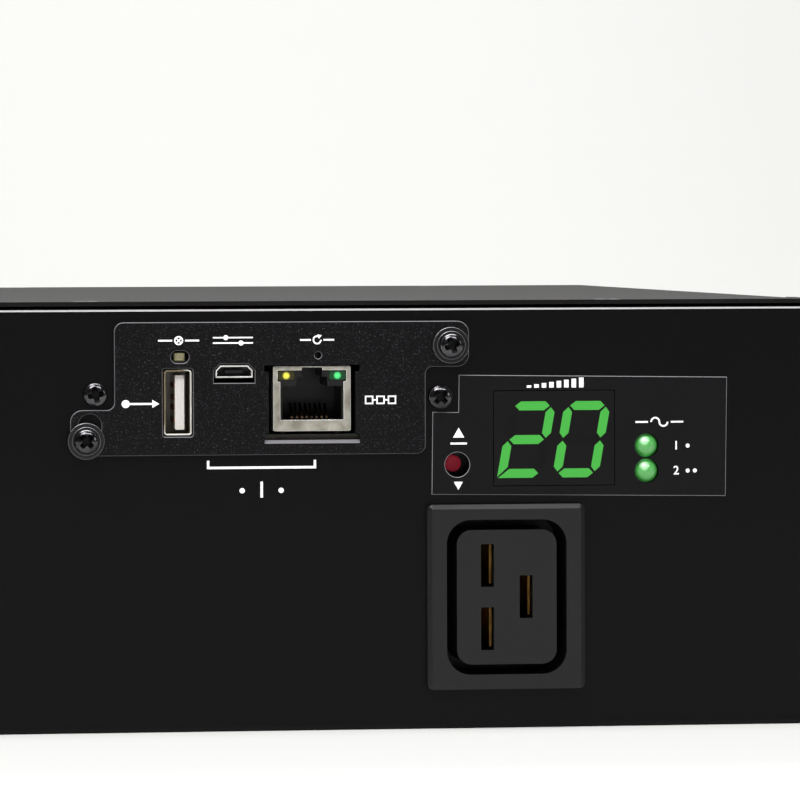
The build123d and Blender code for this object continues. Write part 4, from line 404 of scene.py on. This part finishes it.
cardSigns = {
    "lamp": (88.45, 80.05), "lampRadius": 0.78, "lampCross": (1.4, 0.28), "lampDash": (2.75, 2.9),
    "sliderX": 99.55, "sliderLength": 8.2, "sliderRows": ((80.6, 98.1), (79.5, 101.2)), "knobRadius": 0.52,
    "reset": (116.8, 80.05), "resetRadius": 0.76, "resetStroke": 0.32, "resetArc": (70, 290),
    "resetTip": (117.25, 80.8, 0.55, -70), "resetDash": (2.4, 2.2),
    "arrow": (80.4, 67.2), "arrowSize": (5.4, 0.42), "arrowTail": (77.6, 0.82), "arrowTip": (83.5, 0.95, -90),
    "boxes": (129.8, 67.7), "boxPitch": 2.35, "boxHalf": 0.72, "boxBar": 1.5, "boxLink": 0.66,
}


def addDashes(bm, x, y, z, dash):  # one on each side: how far out, and how long
    for side in (-1, 1):
        addBlock(bm, (x + side * dash[0], y, z), (dash[1], marks["ink"], marks["stroke"]))


def makeCardMarks(y):
    bm = bmesh.new()
    ink, thin = marks["ink"], marks["thin"]
    y -= ink / 2
    # status: a lamp sign between two dashes
    x, z = cardSigns["lamp"]
    length, width = cardSigns["lampCross"]
    addArc(bm, (x, y, z), cardSigns["lampRadius"], thin, ink)
    addBlock(bm, (x, y, z), (length, ink, width), 45)
    addBlock(bm, (x, y, z), (width, ink, length), 45)
    addDashes(bm, x, y, z, cardSigns["lampDash"])
    # settings port: two sliders
    for z, knob in cardSigns["sliderRows"]:
        addBlock(bm, (cardSigns["sliderX"], y, z), (cardSigns["sliderLength"], ink, thin))
        addDisc(bm, (knob, y, z), cardSigns["knobRadius"], ink)
    # reset: a turning arrow between two dashes
    x, z = cardSigns["reset"]
    tipX, tipZ, tipRadius, tipTurn = cardSigns["resetTip"]
    addArc(bm, (x, y, z), cardSigns["resetRadius"], cardSigns["resetStroke"], ink, *cardSigns["resetArc"])
    addTriangle(bm, (tipX, y, tipZ), tipRadius, tipTurn)
    addDashes(bm, x, y, z, cardSigns["resetDash"])
    # plug-in side: an arrow with a round tail
    x, z = cardSigns["arrow"]
    length, width = cardSigns["arrowSize"]
    tailX, tailRadius = cardSigns["arrowTail"]
    tipX, tipRadius, tipTurn = cardSigns["arrowTip"]
    addBlock(bm, (x, y, z), (length, ink, width))
    addDisc(bm, (tailX, y, z), tailRadius, ink)
    addTriangle(bm, (tipX, y, z), tipRadius, tipTurn)
    # network: three boxes in a row, linked
    x, z = cardSigns["boxes"]
    pitch, half = cardSigns["boxPitch"], cardSigns["boxHalf"]
    for k in (-1, 0, 1):
        for dz in (-half, half):
            addBlock(bm, (x + k * pitch, y, z + dz), (cardSigns["boxBar"], ink, thin))
        for dx in (-half, half):
            addBlock(bm, (x + k * pitch + dx, y, z), (thin, ink, 2 * half + thin))
    for k in (-0.5, 0.5):
        addBlock(bm, (x + k * pitch, y, z), (cardSigns["boxLink"], ink, thin))
    finishPiece("cardMarks", bm, ["ink"])


slotSigns = {"x": 105.4, "barZ": 54.0, "barLength": 22.4, "width": 0.5, "tickLength": 1.5, "numberZ": 49.3,
             "dotOut": 4.0, "dotRadius": 0.55}


def makeSlotMarks(y):  # a bracket under the card, with the slot's number
    bm = bmesh.new()
    ink = marks["ink"]
    y -= ink / 2
    x, z, width, tick = slotSigns["x"], slotSigns["barZ"], slotSigns["width"], slotSigns["tickLength"]
    addBlock(bm, (x, y, z), (slotSigns["barLength"], ink, width))
    for side in (-1, 1):
        out = side * (slotSigns["barLength"] - width) / 2
        addBlock(bm, (x + out, y, z + tick / 2), (width, ink, tick))
    addNumber(bm, "1", (x, y, slotSigns["numberZ"]), marks["slotNumberHeight"])
    for side in (-1, 1):
        addDisc(bm, (x + side * slotSigns["dotOut"], y, slotSigns["numberZ"]), slotSigns["dotRadius"], ink)
    finishPiece("slotMarks", bm, ["ink"])


labelSigns = {
    "bars": 8, "barsFrom": (160.6, 69.95), "barPitch": 1.55, "barWidth": 0.95, "barFirst": 0.5,
    "barGrowth": 0.22,
    "up": (146.0, 60.5, 1.35), "line": (146.0, 58.6, 3.4, 0.4), "down": (145.9, 50.2, 1.1),
    "wave": (187.7, 62.75), "waveRadius": 0.85, "waveDash": (3.7, 2.6),
    "numberX": 191.2, "rows": (57.8, 52.65), "dotX": (193.6, 195.1), "dotRadius": 0.42,
}


def makeLabelMarks(y):
    bm = bmesh.new()
    ink = marks["ink"]
    y -= ink / 2
    # load: rising bars
    x, z = labelSigns["barsFrom"]
    for k in range(labelSigns["bars"]):
        high = labelSigns["barFirst"] + labelSigns["barGrowth"] * k
        addBlock(bm, (x + labelSigns["barPitch"] * k, y, z + high / 2), (labelSigns["barWidth"], ink, high))
    # range button: up above it and down below it
    x, z, radius = labelSigns["up"]
    addTriangle(bm, (x, y, z), radius, 0)
    x, z, length, width = labelSigns["line"]
    addBlock(bm, (x, y, z), (length, ink, width))
    x, z, radius = labelSigns["down"]
    addTriangle(bm, (x, y, z), radius, 180)
    # alternating supply: a wave between two dashes
    x, z = labelSigns["wave"]
    radius = labelSigns["waveRadius"]
    for start, side in ((0, -1), (180, 1)):
        addArc(bm, (x + side * radius, y, z), radius, marks["stroke"], ink, start, 180, 18)
    addDashes(bm, x, y, z, labelSigns["waveDash"])
    # supplies: their numbers, with one dot and two
    for number, z in enumerate(labelSigns["rows"], 1):
        addNumber(bm, str(number), (labelSigns["numberX"], y, z), marks["numberHeight"])
        for x in labelSigns["dotX"][:number]:
            addDisc(bm, (x, y, z), labelSigns["dotRadius"], ink)
    finishPiece("labelMarks", bm, ["ink"])


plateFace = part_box("card_plate")[0].y * 1000
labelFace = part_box("display_label")[0].y * 1000
wallFace = -152.5  # front of the folded tray's own wall
makeCardMarks(plateFace - marks["lift"])
makeSlotMarks(wallFace - marks["lift"])
makeLabelMarks(labelFace - marks["lift"])


# Edges that catch the light: a copy of the solid, merged and bevelled
edgeWidths = {"displayLabel": 0.12, "jackShield": 0.09, "usbShell": 0.12, "configPortShell": 0.09}
labelForm = {"button": (145.7, 54.25), "buttonHole": 2.55, "window": (152.5, 179.0, 49.0, 70.3),
             "lampHoles": (182.05, 188.05, 49.0, 61.5)}


# A second finish, where there is one, goes on the bevels; on the socket's lip it is a painted highlight
def edgedCopy(nodeName, name, finishNames, picks, segments=2, smooth=True):
    bm = bmesh.new()
    bm.from_mesh(nodes[nodeName].data)
    bmesh.ops.scale(bm, vec=(1000, 1000, 1000), verts=bm.verts)
    bmesh.ops.remove_doubles(bm, verts=bm.verts, dist=0.002)
    bmesh.ops.dissolve_limit(bm, angle_limit=radians(2), verts=bm.verts, edges=bm.edges)
    sharp = [e for e in bm.edges
             if len(e.link_faces) == 2 and e.calc_face_angle(0) > radians(50) and picks(e)]
    made = bmesh.ops.bevel(bm, geom=sharp, offset=edgeWidths[name], offset_type="OFFSET", segments=segments,
                           profile=0.5, affect="EDGES", clamp_overlap=True, material=-1)
    if len(finishNames) > 1:
        for face in made["faces"]:
            face.material_index = 1
    bmesh.ops.triangulate(bm, faces=bm.faces)
    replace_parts(finishPiece(name, bm, finishNames, smooth=smooth), nodeName)


def onFace(depth, reach=0.02):  # edges whose two ends lie at this depth
    return lambda e: all(abs(v.co.y - depth) < reach for v in e.verts)


def halfway(e):  # middle of an edge
    return (e.verts[0].co + e.verts[1].co) / 2


def lowerRight(nodeName, wall=0.6):  # front edges of its right wall and its foot
    low, high = (corner * 1000 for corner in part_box(nodeName))

    def picks(e):
        spot = halfway(e)
        return onFace(low.y)(e) and (spot.x > high.x - wall or spot.z < low.z + wall)
    return picks


def labelEdges(e):  # the outline and the button's hole, but not the window and the lamps' holes
    spot = halfway(e)
    x, z = labelForm["button"]
    atButton = abs(Vector((spot.x - x, spot.z - z)).length - labelForm["buttonHole"]) < 0.2
    atOpening = any(left < spot.x < right and foot < spot.z < top
                    for left, right, foot, top in (labelForm["window"], labelForm["lampHoles"]))
    return onFace(labelFace)(e) and (atButton or not atOpening)


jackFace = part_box("lan_shield")[0].y * 1000
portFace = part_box("config_port_shell")[0].y * 1000
edgedCopy("display_label", "displayLabel", ["labelFilm", "filmEdge"], labelEdges, 1, False)
edgedCopy("lan_shield", "jackShield", ["tinShell"], onFace(jackFace))
# the socket's bevels on its right wall and foot carry a painted highlight
edgedCopy("usb_shell", "usbShell", ["socketShell", "lipHighlight"], lowerRight("usb_shell"))
edgedCopy("config_port_shell", "configPortShell", ["portShell"], onFace(portFace))

# Pan-head screws, with a tapered cross recess
panHead = {
    "radius": 2.52, "rise": 1.9, "rim": 0.55, "shank": 1.5, "seat": (0.08, 0.1), "crownSteps": 10,
    "sides": 48, "arm": 1.2, "armHeight": 2.0, "reach": 1.95, "sink": 1.75, "foot": (0.45, 0.7),
    "armCorner": 0.3, "edge": 0.07, "edgeAngle": 40,
}
cardScrews = {"shankLength": 9.0, "seats": [(144.3, 78.8, 22), (69.5, 59.7, 45)]}  # X, Z and turn
slotScrews = {"shankLength": 6.0, "seats": [(71.5, 69.1, 12), (142.2, 68.2, 45)]}


def holdMesh(name, bm):  # a spare object that the cut needs
    spare = bpy.data.objects.new(name, bpy.data.meshes.new(name))
    bm.to_mesh(spare.data)
    bm.free()
    scene.collection.objects.link(spare)
    return spare


def makeHead(shankLength):  # shank and domed head, turned about Z
    radius, rim, shank = panHead["radius"], panHead["rim"], panHead["shank"]
    inset, lift = panHead["seat"]
    profile = [(0.0, -shankLength), (shank, -shankLength), (shank, 0.0),
               (radius - inset, 0.0), (radius, lift), (radius, rim)]
    for k in range(1, panHead["crownSteps"] + 1):
        angle = radians(90 / panHead["crownSteps"] * k)
        profile.append((radius * cos(angle), rim + (panHead["rise"] - rim) * sin(angle)))
    bm = bmesh.new()
    verts = [bm.verts.new((r, 0, h)) for r, h in profile]
    edges = [bm.edges.new(pair) for pair in zip(verts, verts[1:])]
    bmesh.ops.spin(bm, geom=verts + edges, cent=(0, 0, 0), axis=(0, 0, 1), angle=2 * pi,
                   steps=panHead["sides"], use_merge=True)
    bmesh.ops.remove_doubles(bm, verts=bm.verts, dist=0.003)
    bmesh.ops.recalc_face_normals(bm, faces=bm.faces)
    return holdMesh("screwHead", bm)


def makeCrossArm(turn):  # a bar that narrows to its foot
    bm = bmesh.new()
    height = panHead["armHeight"]
    bmesh.ops.create_cube(bm, size=1.0)
    bmesh.ops.scale(bm, vec=(2 * panHead["reach"], panHead["arm"], height), verts=bm.verts)
    bmesh.ops.scale(bm, vec=(*panHead["foot"], 1.0), verts=[v for v in bm.verts if v.co.z < 0])
    bmesh.ops.translate(bm, vec=(0, 0, panHead["rise"] - panHead["sink"] + height / 2), verts=bm.verts)
    upright = [e for e in bm.edges if abs(e.verts[0].co.z - e.verts[1].co.z) > height / 2]
    bmesh.ops.bevel(bm, geom=upright, offset=panHead["armCorner"], offset_type="OFFSET", segments=4,
                    profile=0.5, affect="EDGES", material=-1)
    bmesh.ops.rotate(bm, cent=(0, 0, 0), matrix=Matrix.Rotation(radians(turn), 3, "Z"), verts=bm.verts)
    return holdMesh("crossArm", bm)


# Faces well under the dome and away from its rim are the recess, which gets the second finish: painted shade,
# darker and rougher than the head
def shadeRecess(mesh):
    crown = panHead["rise"] - panHead["rim"]
    for face in mesh.polygons:
        spread = min(1.0, (face.center.xy.length / panHead["radius"]) ** 2)
        dome = panHead["rim"] + crown * (1 - spread) ** 0.5
        inRecess = 0.02 < face.center.z < dome - panHead["edge"] * 1.6 and spread < 0.75
        face.material_index = 1 if inRecess else 0


def makeScrews(name, nodeName, screws, y):
    whole = bmesh.new()
    for x, z, turn in screws["seats"]:
        head = makeHead(screws["shankLength"])
        arms = [makeCrossArm(turn), makeCrossArm(turn + 90)]
        for arm in arms:
            away = head.modifiers.new("cut", "BOOLEAN")
            away.operation, away.object, away.solver = "DIFFERENCE", arm, "EXACT"
        edge = head.modifiers.new("edge", "BEVEL")
        edge.width, edge.segments = panHead["edge"], 2
        edge.limit_method, edge.angle_limit = "ANGLE", radians(panHead["edgeAngle"])
        bpy.context.view_layer.update()
        shaped = bpy.data.meshes.new_from_object(head.evaluated_get(bpy.context.evaluated_depsgraph_get()))
        shadeRecess(shaped)
        shaped.transform(facing(x, y, z))
        whole.from_mesh(shaped)
        bpy.data.meshes.remove(shaped)
        for spare in [head] + arms:
            bpy.data.objects.remove(spare)
    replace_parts(finishPiece(name, whole, ["blackOxide", "recessSteel"], angle=30), nodeName)


makeScrews("cardScrews", "card_screws", cardScrews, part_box("card_collars")[0].y * 1000)
makeScrews("slotScrews", "slot_screws", slotScrews, wallFace)

print("camera and light")

# Floor, light and camera, in metres and watts
studio = {"floorColour": "#dededc", "worldStrength": 0.12, "floorHalf": 9.0, "floorLength": 15.0,
          "coveSteps": 12, "wallHeight": 4.0}
studioLights = {
    "topSoftbox": {"at": (0.1, -0.2, 1.3), "aim": (0.1, -0.1, 0.0), "size": (1.4, 0.5), "power": 9.0},
    "frontStrip": {"at": (0.1, -1.0, 1.1), "aim": (0.1, -0.15, 0.06), "size": (1.7, 0.12), "power": 11.0},
    "rearStrip": {"at": (0.1, 1.2, 1.3), "aim": (0.1, 0.15, 0.05), "size": (1.6, 0.4), "power": 12.0},
    "wallWash": {"at": (0.6, 4.2, 3.0), "aim": (0.9, 6.6, 0.2), "size": (3.0, 0.8), "power": 150.0},
    "keySoftbox": {"at": (-0.3, -0.75, 1.25), "aim": (0.15, -0.15, 0.06), "size": (0.6, 0.6), "power": 10.0},
    "keyRight": {"at": (1.5, -1.0, 0.45), "aim": (0.13, -0.15, 0.06), "size": (0.4, 0.4), "power": 1.8},
}
photoView = {"at": (0.0, -1256.0, 101.9), "down": 1.767, "roll": 0.187, "right": 6.926, "sensor": 36.0,
             "focalPixels": 5429.4, "picturePixels": 800.0}  # millimetres, degrees and pixels


def makeBackdrop():
    bm = bmesh.new()
    half, step = studio["floorHalf"], radians(90 / studio["coveSteps"])
    start = [bm.verts.new((-half, -half, 0)), bm.verts.new((half, -half, 0))]
    edge = [bm.edges.new(start)]
    runs = [(0, studio["floorLength"], 0)]
    for k in range(studio["coveSteps"]):  # a quarter turn up to the wall
        low, high = k * step, (k + 1) * step
        runs.append((0, sin(high) - sin(low), cos(low) - cos(high)))
    runs.append((0, 0, studio["wallHeight"]))
    for run in runs:
        grown = bmesh.ops.extrude_edge_only(bm, edges=edge)["geom"]
        bmesh.ops.translate(bm, verts=[g for g in grown if isinstance(g, bmesh.types.BMVert)], vec=run)
        edge = [g for g in grown if isinstance(g, bmesh.types.BMEdge)]
        edge = [e for e in edge if abs(e.verts[0].co.y - e.verts[1].co.y) < 1e-6
                and abs(e.verts[0].co.z - e.verts[1].co.z) < 1e-6]
    bmesh.ops.recalc_face_normals(bm, faces=bm.faces)
    mesh = bpy.data.meshes.new("backdrop")
    bm.to_mesh(mesh)
    bm.free()
    mesh.shade_smooth()
    backdrop = bpy.data.objects.new("backdrop", mesh)
    scene.collection.objects.link(backdrop)
    finish, tree, shader, place = newFinish("paperSweep", studio["floorColour"], 0.85)
    fibre = addNode(tree, "TexNoise", {"Scale": perMm(6.0), "Detail": 2.0}, {"Vector": place})
    bump = addNode(tree, "Bump", {"Strength": 0.1, "Distance": 0.00005}, {"Height": fibre.outputs["Fac"]})
    tree.links.new(bump.outputs["Normal"], shader.inputs["Normal"])
    mesh.materials.append(finish)


def addLight(name, at, aim, size, power):
    light = bpy.data.lights.new(name, "AREA")
    light.shape = "RECTANGLE"
    light.size, light.size_y = size
    light.energy = power
    lamp = bpy.data.objects.new(name, light)
    lamp.location = at
    lamp.rotation_euler = (Vector(aim) - Vector(at)).to_track_quat("-Z", "Y").to_euler()
    scene.collection.objects.link(lamp)


makeBackdrop()
for lightName, values in studioLights.items():
    addLight(lightName, **values)

world = bpy.data.worlds.new("studioWorld")
world.use_nodes = True
world.node_tree.nodes["Background"].inputs["Color"].default_value = (1, 1, 1, 1)
world.node_tree.nodes["Background"].inputs["Strength"].default_value = studio["worldStrength"]
scene.world = world
scene.view_settings.view_transform = "Standard"

camera = bpy.data.cameras.new("photoCamera")
camera.sensor_width = photoView["sensor"]
camera.lens = photoView["focalPixels"] / photoView["picturePixels"] * photoView["sensor"]
cameraRig = bpy.data.objects.new("photoCamera", camera)
cameraRig.location = mm(*photoView["at"])
cameraRig.rotation_euler = (radians(90 - photoView["down"]), radians(photoView["roll"]),
                            radians(-photoView["right"]))
camera.clip_end = 50.0
scene.collection.objects.link(cameraRig)
scene.camera = cameraRig
